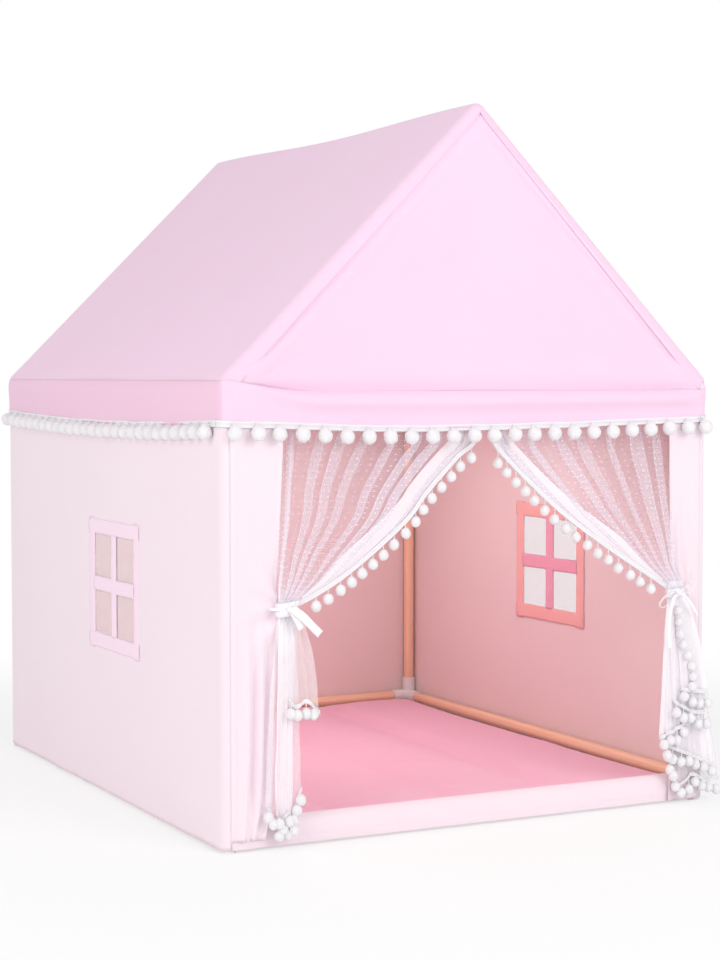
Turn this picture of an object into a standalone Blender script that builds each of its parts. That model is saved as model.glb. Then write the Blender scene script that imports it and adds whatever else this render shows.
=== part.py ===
# Kids play tent: a house-shaped cotton cover on a frame of wooden dowels in plastic
# sockets, with tied-back tulle curtains, pom-pom trims, sheer windows and a floor mat.
# Metres, +Z up. The doorway faces -Y and the origin is on the floor, in the middle.
import math

import bmesh
import bpy
from mathutils import Matrix, Vector

# Overall size, over the cloth
WIDTH = 1.054
DEPTH = 1.230
RIDGE_HEIGHT = 1.360
EAVE_HEIGHT = 0.8376
RIDGE_SAG = 0.009

# Clearances
GAP = 0.0003
SEAM_GAP = 0.0006
COVER_GAP = 0.0006
CUT_OVERRUN = 0.002

# Dowels and moulded sockets
POLE_RADIUS = 0.0125
SOCKET_WALL = 0.0027
SOCKET_DEPTH = 0.030
POLE_STOP = 0.016
RAFTER_STOP = 0.036
HUB_INSET = 0.0006
HUB_LAP = 0.0005
FLOOR_RAIL_HEIGHT = 0.0425
POLE_SIDES = 12
SLEEVE_TURN = math.radians(8)
RIDGE_STEPS = 8

# Cloth
CLOTH = 0.0015
TULLE = 0.003
CORNER_STEPS = 4
SIDE_STEPS = 6
HEADER_DROP = 0.0276
WALL_HEM = 0.006
LEFT_JAMB_HEM = 0.020
RIGHT_JAMB_HEM = 0.005
THRESHOLD_HEM = 0.004
LEFT_JAMB_WIDTH = 0.124
RIGHT_JAMB_WIDTH = 0.094

# Valances, their lace tape and the pom-poms on it
VALANCE_RISE = 0.0074
VALANCE_SEAM_DROP = 0.0126
VALANCE_FRONT_DROP = 0.0846
VALANCE_SIDE_DROP = 0.0696
VALANCE_SIDE_SAG = 0.012
TAPE = 0.0016
TAPE_HEIGHT = 0.012
TAPE_LAP = 0.004
POM_RADIUS = 0.0142
POM_PITCH = 0.0444

# Windows: one opening in each side wall, a net in it and a frame of bands over it
WINDOW_WIDTH = 0.280
WINDOW_HEIGHT = 0.262
WINDOW_BAND = 0.030
WINDOW_BAR = 0.029
WINDOW_SILL = 0.298
LEFT_WINDOW_FORWARD = 0.072
RIGHT_WINDOW_FORWARD = 0.038
NET = 0.001

# Curtains
CURTAIN_FOLDS = 5
CURTAIN_COLUMNS = 20
CURTAIN_ROWS = 10
FOLD_DEPTH = 0.008
HEM_WIDTH = 0.011
HEM = 0.0022
HEM_STEP = 0.0007
THREAD = 0.0028
THREAD_LENGTH = 0.013
SMALL_POM_RADIUS = 0.0118
SMALL_POM_PITCH = 0.031
LEFT_TIE_INSET = 0.123
LEFT_TIE_HEIGHT = 0.447
RIGHT_TIE_INSET = 0.0835
RIGHT_TIE_HEIGHT = 0.441
NECK_HALF_WIDTH = 0.017
TIE_STEP = 0.0008
TIE_APPROACH = 0.060
PIVOT_DROP = 0.002
TAIL_HALF_DEPTH = 0.009
TAIL_FOLDS = 3
TAIL_COLUMNS = 12
TAIL_ROWS = 8
TAIL_CLEARANCE = 0.0006
LEFT_TAIL_LENGTH = 0.430
RIGHT_TAIL_LENGTH = 0.420

# Ribbon ties
RIBBON = 0.0012
RIBBON_WIDTH = 0.012
RIBBON_EASE = 0.0005
LEFT_RIBBON_DROP = 0.004
RIGHT_RIBBON_DROP = 0.015
KNOT_RADIUS = 0.007
BOW_LOOP = 0.034
RIBBON_END_LENGTH = 0.105
LEFT_RIBBON_END_LENGTH = 0.052

# Floor mat
MAT_MARGIN = 0.004
MAT_THICKNESS = 0.034
MAT_SEAM_HEIGHT = 0.013
MAT_CHANNELS = 3
MAT_CHANNEL_DEPTH = 0.004
MAT_COLUMNS = 10
MAT_ROWS = 12

# Share of a pom-pom's radius that stands between its centre and its tape
pom_sunk_share = 0.84

# Values worked out from the sizes above
SOCKET_RADIUS = POLE_RADIUS + GAP + SOCKET_WALL
SOCKET_REACH = POLE_STOP + SOCKET_DEPTH
WALL_OFFSET = SOCKET_RADIUS + COVER_GAP + CLOTH / 2
VALANCE_OFFSET = WALL_OFFSET + CLOTH + GAP
TAPE_OFFSET = VALANCE_OFFSET + CLOTH / 2 + GAP + TAPE / 2
POM_OFFSET = TAPE_OFFSET + POM_RADIUS * pom_sunk_share
POLE_X = WIDTH / 2 - WALL_OFFSET - CLOTH / 2
POLE_Y = DEPTH / 2 - WALL_OFFSET - CLOTH / 2
LEFT_TIE_X = LEFT_TIE_INSET - WIDTH / 2
RIGHT_TIE_X = WIDTH / 2 - RIGHT_TIE_INSET
RIDGE_POLE_HEIGHT = RIDGE_HEIGHT - WALL_OFFSET - CLOTH / 2
SLOPE = math.atan2(RIDGE_POLE_HEIGHT - EAVE_HEIGHT, POLE_X)
WALL_TOP = EAVE_HEIGHT - GAP
HEADER_HEIGHT = EAVE_HEIGHT - HEADER_DROP
VALANCE_TOP = EAVE_HEIGHT + VALANCE_RISE
VALANCE_FRONT_SEAM = EAVE_HEIGHT - VALANCE_SEAM_DROP
VALANCE_FRONT_HEM = EAVE_HEIGHT - VALANCE_FRONT_DROP
VALANCE_SIDE_HEM = EAVE_HEIGHT - VALANCE_SIDE_DROP
FRONT_FACE = -DEPTH / 2
TAIL_PLANE = FRONT_FACE - TAIL_CLEARANCE - RIBBON - TAIL_HALF_DEPTH

# Outlines as shares, chosen by eye, of the sizes they follow
# (share of the half doorway from the middle to the tie, share of the drop to the tie)
left_leading_edge_shares = (
    (0.004, 0.0), (0.006, 0.225), (0.106, 0.290), (0.274, 0.50),
    (0.383, 0.632), (0.612, 0.83), (0.76, 0.925), (1.0, 1.0),
)
right_leading_edge_shares = (
    (0.006, 0.0), (0.065, 0.216), (0.149, 0.334), (0.286, 0.487),
    (0.401, 0.601), (0.568, 0.742), (0.749, 0.875), (1.0, 1.0),
)
# (share of a jamb's height from its top, share of its width at that height)
left_jamb_edge_shares = ((0.0, 1.0), (0.45, 0.87), (0.68, 0.77), (0.93, 0.73), (1.0, 0.64))
right_jamb_edge_shares = ((0.0, 1.0), (0.35, 0.95), (0.49, 0.90), (1.0, 0.97))
# below the neck: (share of the tail's length, left and right edges as shares of that length)
left_tail_edge_shares = (
    (0.26, -0.050, 0.108), (0.48, -0.048, 0.140), (0.56, -0.046, 0.090),
    (0.80, -0.044, 0.082), (1.0, -0.050, 0.058),
)
right_tail_edge_shares = (
    (0.27, -0.060, 0.105), (0.59, -0.072, 0.170), (0.80, -0.090, 0.210), (1.0, -0.055, 0.252),
)
# hem tape of a tail, from its leading edge down: (share across the tail, share of its length)
left_tail_hem_shares = (
    (0.30, 0.455), (0.94, 0.49), (0.35, 0.53), (0.88, 0.59),
    (0.86, 0.82), (0.12, 0.89), (0.80, 0.935), (0.14, 0.985),
)
right_tail_hem_shares = (
    (0.60, 0.48), (0.94, 0.553), (0.32, 0.612), (0.90, 0.65),
    (0.08, 0.73), (0.12, 0.78), (0.93, 0.887), (0.33, 0.97),
)
valance_swoop_share = 0.18
front_lift_start_share = 0.6
gather_start_share = 0.85
first_pom_share = 0.255
last_pom_share = 0.86
thread_lap_share = 0.28
tape_lap_share = 0.6
knot_sunk_share = 0.8
ribbon_slant_share = 0.94
loop_width_share = 0.7
tail_row_power = 1.3
bow_loop_turns_shares = (-0.40, 0.16)
left_ribbon_end_turns_shares = (0.13, 0.05)
right_ribbon_end_turns_shares = (-0.012, 0.075)

colors = {
    "pine": (0.80, 0.56, 0.34),
    "socket_plastic": (0.93, 0.90, 0.88),
    "roof_pink": (0.93, 0.78, 0.86),
    "gable_pink": (0.97, 0.85, 0.93),
    "wall_cotton": (0.95, 0.89, 0.92),
    "window_pink": (0.98, 0.80, 0.88),
    "tulle": (0.97, 0.94, 0.98),
    "trim_white": (0.98, 0.97, 0.98),
    "mat_pink": (0.95, 0.60, 0.71),
}
roughness_of = {"pine": 0.55, "socket_plastic": 0.4}

for obj in list(bpy.data.objects):
    bpy.data.objects.remove(obj, do_unlink=True)

tent = bpy.data.collections.new("kids_play_tent")
cutters = bpy.data.collections.new("cutters")
bpy.context.scene.collection.children.link(tent)
bpy.context.scene.collection.children.link(cutters)
cutters.hide_render = True


def material(name):
    found = bpy.data.materials.get(name)
    if found:
        return found
    made = bpy.data.materials.new(name)
    made.use_nodes = True
    shader = made.node_tree.nodes["Principled BSDF"]
    shader.inputs["Base Color"].default_value = (*colors[name], 1.0)
    shader.inputs["Roughness"].default_value = roughness_of.get(name, 0.85)
    shader.inputs["Metallic"].default_value = 0.0
    return made


def object_of(name, bm, finish=None):
    """An object made of a bmesh: a part where it has a finish, and a helper where it has none."""
    mesh = bpy.data.meshes.new(name)
    bm.normal_update()
    bm.to_mesh(mesh)
    bm.free()
    obj = bpy.data.objects.new(name, mesh)
    if finish:
        mesh.materials.append(material(finish))
        tent.objects.link(obj)
    else:
        cutters.objects.link(obj)
        obj.hide_render = True
        obj.display_type = "WIRE"
    return obj


def boolean(obj, other, operation):
    step = obj.modifiers.new(f"{operation.lower()} {other.name}", "BOOLEAN")
    step.operation = operation
    step.object = other


def smooth(obj, degrees=40):
    obj.data.shade_smooth()
    obj.data.set_sharp_from_angle(angle=math.radians(degrees))


def through(table, share):
    """The rest of a row of the table at this share of its first column, on smooth curves."""
    keys = [row[0] for row in table]
    values = [Vector(row[1:] + (0.0,) * (4 - len(row))) for row in table]
    last = len(table) - 2
    k = min(max(sum(key <= share for key in keys) - 1, 0), last)
    span = keys[k + 1] - keys[k]
    t = min(max((share - keys[k]) / span, 0.0), 1.0)
    before = values[max(k - 1, 0)]
    after = values[min(k + 2, last + 1)]
    start = (values[k + 1] - before) / (keys[k + 1] - keys[max(k - 1, 0)]) * span
    end = (after - values[k]) / (keys[min(k + 2, last + 1)] - keys[k]) * span
    return (
        values[k] * (2 * t**3 - 3 * t**2 + 1)
        + start * (t**3 - 2 * t**2 + t)
        + values[k + 1] * (3 * t**2 - 2 * t**3)
        + end * (t**3 - t**2)
    )


def ease(t):
    t = min(max(t, 0.0), 1.0)
    return t * t * (3 - 2 * t)


# Frame of dowels and sockets


def rod_mesh(start, end, radius, turn=0.0):
    axis = end - start
    place = Matrix.Translation((start + end) / 2) @ axis.to_track_quat("Z", "Y").to_matrix().to_4x4()
    place @= Matrix.Rotation(turn, 4, "Z")
    bm = bmesh.new()
    bmesh.ops.create_cone(
        bm, cap_ends=True, segments=POLE_SIDES, radius1=radius, radius2=radius,
        depth=axis.length, matrix=place,
    )
    return bm


def dowel(name, start, end):
    obj = object_of(name, rod_mesh(Vector(start), Vector(end), POLE_RADIUS), "pine")
    smooth(obj)
    return obj


def connector(name, hub, arms, base=None):
    """A moulded hub with one socket along each arm: (direction, distance to the pole's end).

    With a base, the upright socket runs down to it as a foot.
    """
    ball = bmesh.new()
    bmesh.ops.create_icosphere(
        ball, subdivisions=2, radius=SOCKET_RADIUS - HUB_INSET, matrix=Matrix.Translation(hub)
    )
    obj = object_of(name, ball, "socket_plastic")
    for number, (direction, stop) in enumerate(arms):
        start = base if base and direction == UP else hub - direction * HUB_LAP
        mouth = hub + direction * (stop + SOCKET_DEPTH)
        sleeve = rod_mesh(start, mouth, SOCKET_RADIUS, SLEEVE_TURN * (number + 1))
        boolean(obj, object_of(f"{name} sleeve {number}", sleeve), "UNION")
    return obj


def bores(obj, hub, arms):
    for number, (direction, stop) in enumerate(arms):
        mouth = hub + direction * (stop + SOCKET_DEPTH + CUT_OVERRUN)
        bottom = hub + direction * (stop - GAP)
        bore = object_of(f"{obj.name} bore {number}", rod_mesh(bottom, mouth, POLE_RADIUS + GAP))
        boolean(obj, bore, "DIFFERENCE")


def flipped_copy(source, name, flip_x, flip_y):
    """The same moulding turned into its mirror image across the middle of the tent."""
    bpy.context.view_layer.update()
    graph = bpy.context.evaluated_depsgraph_get()
    bm = bmesh.new()
    bm.from_mesh(bpy.data.meshes.new_from_object(source.evaluated_get(graph)))
    factor = Vector((-1.0 if flip_x else 1.0, -1.0 if flip_y else 1.0, 1.0))
    bmesh.ops.scale(bm, vec=factor, verts=bm.verts)
    if flip_x != flip_y:
        bmesh.ops.reverse_faces(bm, faces=bm.faces)
    bm.normal_update()
    mesh = bpy.data.meshes.new(name)
    bm.to_mesh(mesh)
    bm.free()
    obj = bpy.data.objects.new(name, mesh)
    if not mesh.materials:
        mesh.materials.append(source.data.materials[0])
    tent.objects.link(obj)
    smooth(obj)
    return obj


def four_corners(source, stem):
    smooth(source)
    flipped_copy(source, f"{stem}_front_right", True, False)
    flipped_copy(source, f"{stem}_back_left", False, True)
    flipped_copy(source, f"{stem}_back_right", True, True)


UP = Vector((0.0, 0.0, 1.0))
RIGHT = Vector((1.0, 0.0, 0.0))
BACK = Vector((0.0, 1.0, 0.0))
RAFTER = Vector((math.cos(SLOPE), 0.0, math.sin(SLOPE)))


def make_frame():
    floor_hub = Vector((-POLE_X, -POLE_Y, FLOOR_RAIL_HEIGHT))
    eave_hub = Vector((-POLE_X, -POLE_Y, EAVE_HEIGHT))
    ridge_hub = Vector((0.0, -POLE_Y, RIDGE_POLE_HEIGHT))

    arms = [(RIGHT, POLE_STOP), (BACK, POLE_STOP), (UP, POLE_STOP)]
    base = Vector((floor_hub.x, floor_hub.y, 0.0))
    corner = connector("floor_corner_front_left", floor_hub, arms, base)
    bores(corner, floor_hub, arms)
    four_corners(corner, "floor_corner")

    arms = [(RIGHT, POLE_STOP), (BACK, POLE_STOP), (-UP, POLE_STOP), (RAFTER, RAFTER_STOP)]
    corner = connector("eave_corner_front_left", eave_hub, arms)
    bores(corner, eave_hub, arms)
    four_corners(corner, "eave_corner")

    left_down = Vector((-RAFTER.x, 0.0, -RAFTER.z))
    right_down = Vector((RAFTER.x, 0.0, -RAFTER.z))
    arms = [(BACK, POLE_STOP), (left_down, POLE_STOP), (right_down, POLE_STOP)]
    peak = connector("ridge_joint_front", ridge_hub, arms)
    bores(peak, ridge_hub, arms)
    smooth(peak)
    flipped_copy(peak, "ridge_joint_back", False, True)

    rail_x = POLE_X - POLE_STOP
    rail_y = POLE_Y - POLE_STOP
    for side, y in (("front", -POLE_Y), ("back", POLE_Y)):
        for level, z in (("floor", FLOOR_RAIL_HEIGHT), ("eave", EAVE_HEIGHT)):
            dowel(f"{level}_rail_{side}", (-rail_x, y, z), (rail_x, y, z))
        for hand, sign in (("left", -1.0), ("right", 1.0)):
            x = sign * POLE_X
            dowel(
                f"upright_{side}_{hand}",
                (x, y, FLOOR_RAIL_HEIGHT + POLE_STOP), (x, y, EAVE_HEIGHT - POLE_STOP),
            )
            along = Vector((-sign * RAFTER.x, 0.0, RAFTER.z))
            low = Vector((x, y, EAVE_HEIGHT)) + along * RAFTER_STOP
            high = Vector((0.0, y, RIDGE_POLE_HEIGHT)) - along * POLE_STOP
            dowel(f"rafter_{side}_{hand}", low, high)
    for hand, sign in (("left", -1.0), ("right", 1.0)):
        for level, z in (("floor", FLOOR_RAIL_HEIGHT), ("eave", EAVE_HEIGHT)):
            dowel(f"{level}_rail_{hand}", (sign * POLE_X, -rail_y, z), (sign * POLE_X, rail_y, z))
    make_ridge_pole()


def ridge_sag(y):
    """How far the ridge hangs below its ends: straight in the sockets, bowed between them."""
    free = POLE_Y - SOCKET_REACH
    if abs(y) >= free:
        return 0.0
    return RIDGE_SAG * (1 + math.cos(math.pi * y / free)) / 2


def make_ridge_pole():
    end = POLE_Y - POLE_STOP
    free = POLE_Y - SOCKET_REACH
    places = [-end] + [free * (2 * k / RIDGE_STEPS - 1) for k in range(RIDGE_STEPS + 1)] + [end]
    curve = bpy.data.curves.new("ridge_pole", "CURVE")
    curve.dimensions = "3D"
    curve.bevel_depth = POLE_RADIUS
    curve.bevel_resolution = (POLE_SIDES - 4) // 2
    curve.use_fill_caps = True
    spline = curve.splines.new("POLY")
    spline.points.add(len(places) - 1)
    for point, y in zip(spline.points, places):
        point.co = (0.0, y, RIDGE_POLE_HEIGHT - ridge_sag(y), 1.0)
    curve.materials.append(material("pine"))
    tent.objects.link(bpy.data.objects.new("ridge_pole", curve))


# Cloth


def sheet(name, columns, rows, place, thickness, finish):
    """A cloth from a grid whose corner (i, j) goes to place(i, j), given its thickness."""
    bm = bmesh.new()
    bmesh.ops.create_grid(bm, x_segments=columns, y_segments=rows, size=0.5)
    for vertex in bm.verts:
        i = round((vertex.co.x + 0.5) * columns)
        j = round((vertex.co.y + 0.5) * rows)
        vertex.co = place(i, j)
    bmesh.ops.remove_doubles(bm, verts=bm.verts, dist=0.00005)
    obj = object_of(name, bm, finish)
    wall = obj.modifiers.new("cloth", "SOLIDIFY")
    wall.thickness = thickness
    wall.offset = 0.0
    wall.use_even_offset = True
    return obj


def drape(name, columns, rows, place, depth, finish):
    """A hanging cloth from a grid, as thick as depth along Y however steep its folds are."""
    bm = bmesh.new()
    bmesh.ops.create_grid(bm, x_segments=columns, y_segments=rows, size=0.5)
    for vertex in bm.verts:
        i = round((vertex.co.x + 0.5) * columns)
        j = round((vertex.co.y + 0.5) * rows)
        vertex.co = place(i, j) - BACK * (depth / 2)
    made = bmesh.ops.extrude_face_region(bm, geom=bm.faces[:])
    moved = [item for item in made["geom"] if isinstance(item, bmesh.types.BMVert)]
    bmesh.ops.translate(bm, vec=BACK * depth, verts=moved)
    bmesh.ops.recalc_face_normals(bm, faces=bm.faces)
    obj = object_of(name, bm, finish)
    smooth(obj)
    return obj


def plate(name, outlines, thickness, matrix, finish):
    """A flat piece cut to an outline, with the later outlines as holes."""
    curve = bpy.data.curves.new(name, "CURVE")
    curve.dimensions = "2D"
    curve.fill_mode = "BOTH"
    curve.extrude = thickness / 2
    for outline in outlines:
        spline = curve.splines.new("POLY")
        spline.points.add(len(outline) - 1)
        spline.use_cyclic_u = True
        for point, (x, y) in zip(spline.points, outline):
            point.co = (x, y, 0.0, 1.0)
    flat = bpy.data.objects.new(name + " outline", curve)
    cutters.objects.link(flat)
    bpy.context.view_layer.update()
    graph = bpy.context.evaluated_depsgraph_get()
    bm = bmesh.new()
    bm.from_mesh(bpy.data.meshes.new_from_object(flat.evaluated_get(graph)))
    bpy.data.objects.remove(flat, do_unlink=True)
    bmesh.ops.remove_doubles(bm, verts=bm.verts, dist=0.00005)
    bmesh.ops.transform(bm, matrix=matrix, verts=bm.verts)
    bmesh.ops.recalc_face_normals(bm, faces=bm.faces)
    return object_of(name, bm, finish)


def rectangle(x0, y0, x1, y1):
    return [(x0, y0), (x1, y0), (x1, y1), (x0, y1)]


def facing_front(y):
    """Stands an outline drawn in X and Z upright in the plane at this y."""
    return Matrix.Translation((0.0, y, 0.0)) @ Matrix.Rotation(math.pi / 2, 4, "X")


def facing_side(x):
    """Stands an outline drawn in Y and Z upright in the plane at this x."""
    turn = Matrix(((0.0, 0.0, 1.0, x), (1.0, 0.0, 0.0, 0.0), (0.0, 1.0, 0.0, 0.0), (0.0, 0.0, 0.0, 1.0)))
    return turn


def side_stations():
    """Places from front to back along a side: (y of the centre, turn towards the front)."""
    free = POLE_Y - SOCKET_REACH
    quarter = [math.pi / 2 * (1 - k / CORNER_STEPS) for k in range(CORNER_STEPS + 1)]
    straight = [(free * (2 * k / SIDE_STEPS - 1), 0.0) for k in range(SIDE_STEPS + 1)]
    return (
        [(-POLE_Y, turn) for turn in quarter]
        + straight
        + [(POLE_Y, -turn) for turn in reversed(quarter)]
    )


def side_point(station, sign, offset, height):
    """A point on a side of the cover that wraps round the uprights at both ends."""
    y, turn = station
    out = POLE_X + offset * math.cos(turn)
    return Vector((sign * out, y - offset * math.sin(turn), height))


def make_roof():
    stations = side_stations()
    first = math.asin(SEAM_GAP / 2 / WALL_OFFSET)
    half = SLOPE / 2
    eave = (math.pi / 2 - SLOPE) / 2
    across = [(0.0, first), (0.0, half)]
    across += [(k / 4, SLOPE) for k in range(5)]
    across += [(1.0, SLOPE + eave), (1.0, math.pi / 2)]
    for hand, sign in (("left", -1.0), ("right", 1.0)):

        def place(i, j, sign=sign):
            y, turn = stations[i]
            share, tilt = across[j]
            ridge = RIDGE_POLE_HEIGHT - ridge_sag(y)
            centre = Vector((sign * POLE_X * share, y, ridge + (EAVE_HEIGHT - ridge) * share))
            out = Vector((sign * math.sin(tilt), 0.0, math.cos(tilt)))
            spot = centre + (out * math.cos(turn) - BACK * math.sin(turn)) * WALL_OFFSET
            spot.x = sign * max(abs(spot.x), SEAM_GAP / 2)
            return spot

        roof = sheet(
            f"roof_{hand}", len(stations) - 1, len(across) - 1, place, CLOTH, "roof_pink"
        )
        smooth(roof)


def make_gables():
    half = POLE_X - SEAM_GAP
    drop = SEAM_GAP / math.cos(SLOPE)
    outline = [
        (-half, HEADER_HEIGHT),
        (half, HEADER_HEIGHT),
        (half, EAVE_HEIGHT - drop + SEAM_GAP * math.tan(SLOPE)),
        (0.0, RIDGE_POLE_HEIGHT - drop),
        (-half, EAVE_HEIGHT - drop + SEAM_GAP * math.tan(SLOPE)),
    ]
    plane = POLE_Y + WALL_OFFSET
    plate("gable_front", [outline], CLOTH, facing_front(-plane), "gable_pink")
    plate("gable_back", [outline], CLOTH, facing_front(plane), "gable_pink")


def make_walls():
    stations = side_stations()
    for hand, sign, forward in (
        ("left", -1.0, LEFT_WINDOW_FORWARD),
        ("right", 1.0, RIGHT_WINDOW_FORWARD),
    ):

        def place(i, j, sign=sign):
            return side_point(stations[i], sign, WALL_OFFSET, (WALL_HEM, WALL_TOP)[j])

        wall = sheet(f"wall_{hand}", len(stations) - 1, 1, place, CLOTH, "wall_cotton")
        smooth(wall)
        make_window(wall, hand, sign, forward)
    half = POLE_X - SEAM_GAP
    top = HEADER_HEIGHT - GAP
    plate(
        "wall_back", [rectangle(-half, WALL_HEM, half, top)], CLOTH,
        facing_front(POLE_Y + WALL_OFFSET), "wall_cotton",
    )


def make_window(wall, hand, sign, forward):
    """Cuts the opening and covers it with a net and a frame of bands with a cross."""
    y0 = -forward - WINDOW_WIDTH / 2
    y1 = -forward + WINDOW_WIDTH / 2
    z0 = WINDOW_SILL
    z1 = WINDOW_SILL + WINDOW_HEIGHT
    band = WINDOW_BAND
    plane = sign * (POLE_X + WALL_OFFSET)
    cut = plate(
        f"window opening {hand}", [rectangle(y0 + band, z0 + band, y1 - band, z1 - band)],
        CLOTH + 2 * CUT_OVERRUN, facing_side(plane), None,
    )
    boolean(wall, cut, "DIFFERENCE")
    inset = band + GAP
    plate(
        f"window_net_{hand}", [rectangle(y0 + inset, z0 + inset, y1 - inset, z1 - inset)],
        NET, facing_side(plane), "tulle",
    )
    middle_y = (y0 + y1) / 2
    middle_z = (z0 + z1) / 2
    bar = WINDOW_BAR / 2
    panes = [
        rectangle(low_y, low_z, high_y, high_z)
        for low_y, high_y in ((y0 + band, middle_y - bar), (middle_y + bar, y1 - band))
        for low_z, high_z in ((z0 + band, middle_z - bar), (middle_z + bar, z1 - band))
    ]
    frame_plane = sign * (POLE_X + VALANCE_OFFSET)
    plate(
        f"window_frame_{hand}", [rectangle(y0, z0, y1, z1)] + panes, CLOTH,
        facing_side(frame_plane), "window_pink",
    )


def jamb_edge(table, width, top, hem, z):
    """How far the cloth beside the doorway reaches in from the side of the tent."""
    share = (top - z) / (top - hem)
    return width * through(table, share).x


def make_jambs():
    top = HEADER_HEIGHT - GAP
    rows = 8
    for hand, sign, table, width, hem in (
        ("left", -1.0, left_jamb_edge_shares, LEFT_JAMB_WIDTH, LEFT_JAMB_HEM),
        ("right", 1.0, right_jamb_edge_shares, RIGHT_JAMB_WIDTH, RIGHT_JAMB_HEM),
    ):

        def place(i, j, sign=sign, table=table, width=width, hem=hem):
            z = hem + (top - hem) * j / rows
            inner = WIDTH / 2 - jamb_edge(table, width, top, hem, z)
            x = (POLE_X - SEAM_GAP, inner)[i]
            return Vector((sign * x, -POLE_Y - WALL_OFFSET, z))

        sheet(f"jamb_{hand}", 1, rows, place, CLOTH, "wall_cotton")


def make_threshold():
    """A sleeve over the front floor rail, between its two sockets."""
    radius = POLE_RADIUS + GAP + CLOTH / 2
    half = POLE_X - SOCKET_REACH - GAP
    turns = [math.pi * k / (2 * CORNER_STEPS) for k in range(2 * CORNER_STEPS + 1)]
    profile = [(-radius, THRESHOLD_HEM)]
    profile += [
        (-radius * math.cos(turn), FLOOR_RAIL_HEIGHT + radius * math.sin(turn)) for turn in turns
    ]
    profile += [(radius, FLOOR_RAIL_HEIGHT - POLE_RADIUS)]

    def place(i, j):
        y, z = profile[j]
        return Vector((half * (2 * i - 1), -POLE_Y + y, z))

    band = sheet("threshold_band", 1, len(profile) - 1, place, CLOTH, "wall_cotton")
    smooth(band)


# Valances and their trims


def side_hem(y):
    share = 0.5 + y / DEPTH
    return VALANCE_SIDE_HEM - VALANCE_SIDE_SAG * 4 * share * (1 - share)


def front_hem(x):
    """Lowest in the middle, and up to the side's hem at both corners."""
    share = min(abs(x) / POLE_X, 1.0)
    lift = ease((share - front_lift_start_share) / (1 - front_lift_start_share))
    return VALANCE_FRONT_HEM + (VALANCE_SIDE_HEM - VALANCE_FRONT_HEM) * lift


def front_seam(x):
    """The seam runs level and swoops up to the eave over the last stretch at the left."""
    swoop = valance_swoop_share * WIDTH
    lift = min(max((swoop - POLE_X - x) / swoop, 0.0), 1.0)
    return VALANCE_FRONT_SEAM + (VALANCE_TOP - VALANCE_FRONT_SEAM) * lift**2


def balls(name, centres, radius, segments=6, rings=4):
    bm = bmesh.new()
    for centre in centres:
        bmesh.ops.create_uvsphere(
            bm, u_segments=segments, v_segments=rings, radius=radius,
            matrix=Matrix.Translation(centre) @ Matrix.Rotation(math.pi / 3 / segments, 4, "Z"),
        )
    return object_of(name, bm)


def make_side_valances():
    stations = side_stations()
    length = 2 * POLE_Y
    count = round(length / POM_PITCH)
    for hand, sign in (("left", -1.0), ("right", 1.0)):

        def cloth(i, j, sign=sign):
            hem = side_hem(stations[i][0]) - TAPE_LAP
            return side_point(stations[i], sign, VALANCE_OFFSET, (hem, VALANCE_TOP)[j])

        def tape(i, j, sign=sign):
            top = side_hem(stations[i][0])
            return side_point(stations[i], sign, TAPE_OFFSET, (top - TAPE_HEIGHT, top)[j])

        valance = sheet(f"valance_{hand}", len(stations) - 1, 1, cloth, CLOTH, "roof_pink")
        smooth(valance)
        trim = sheet(f"trim_{hand}", len(stations) - 1, 1, tape, TAPE, "trim_white")
        centres = []
        for k in range(count):
            y = -POLE_Y + length * (k + 0.5) / count
            centres.append(Vector((sign * (POLE_X + POM_OFFSET), y, side_hem(y) - TAPE_HEIGHT)))
        boolean(trim, balls(f"pom-poms {hand}", centres, POM_RADIUS), "UNION")


def make_end_valances():
    columns = 12
    half = POLE_X - SEAM_GAP
    count = round(WIDTH / POM_PITCH)
    for end, sign in (("front", -1.0), ("back", 1.0)):
        seam = front_seam if end == "front" else (lambda x: VALANCE_TOP)
        hem = front_hem

        def cloth(i, j, sign=sign, seam=seam, hem=hem):
            x = half * (2 * i / columns - 1)
            return Vector((x, sign * (POLE_Y + VALANCE_OFFSET), (hem(x) - TAPE_LAP, seam(x))[j]))

        def tape(i, j, sign=sign, hem=hem):
            x = half * (2 * i / columns - 1)
            top = hem(x)
            return Vector((x, sign * (POLE_Y + TAPE_OFFSET), (top - TAPE_HEIGHT, top)[j]))

        sheet(f"valance_{end}", columns, 1, cloth, CLOTH, "gable_pink")
        trim = sheet(f"trim_{end}", columns, 1, tape, TAPE, "trim_white")
        centres = []
        for k in range(count):
            x = half * (2 * (k + 0.5) / count - 1)
            centres.append(Vector((x, sign * (POLE_Y + POM_OFFSET), hem(x) - TAPE_HEIGHT)))
        boolean(trim, balls(f"pom-poms {end}", centres, POM_RADIUS), "UNION")


# Curtains


def leading_edge(table, tie_x, tie_height, share):
    """The curtain's free edge from the middle of the doorway out to the tie."""
    steps = len(table) - 1
    spot = through([(k / steps, *row) for k, row in enumerate(table)], share)
    top = HEADER_HEIGHT - GAP
    bottom = tie_height + TIE_STEP
    neck = math.copysign(NECK_HALF_WIDTH, tie_x)
    return Vector(((tie_x - neck) * spot.x, 0.0, top - (top - bottom) * spot.y))


def curtain_depth(z, tie_height):
    """How far the folds stand either side of the curtain's middle plane at this height."""
    top = HEADER_HEIGHT - GAP
    opened = ease((top - z) / (2 * TAPE_HEIGHT + FOLD_DEPTH))
    closing = ease((z - tie_height - TIE_STEP) / (4 * FOLD_DEPTH))
    return FOLD_DEPTH * opened * closing


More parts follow.
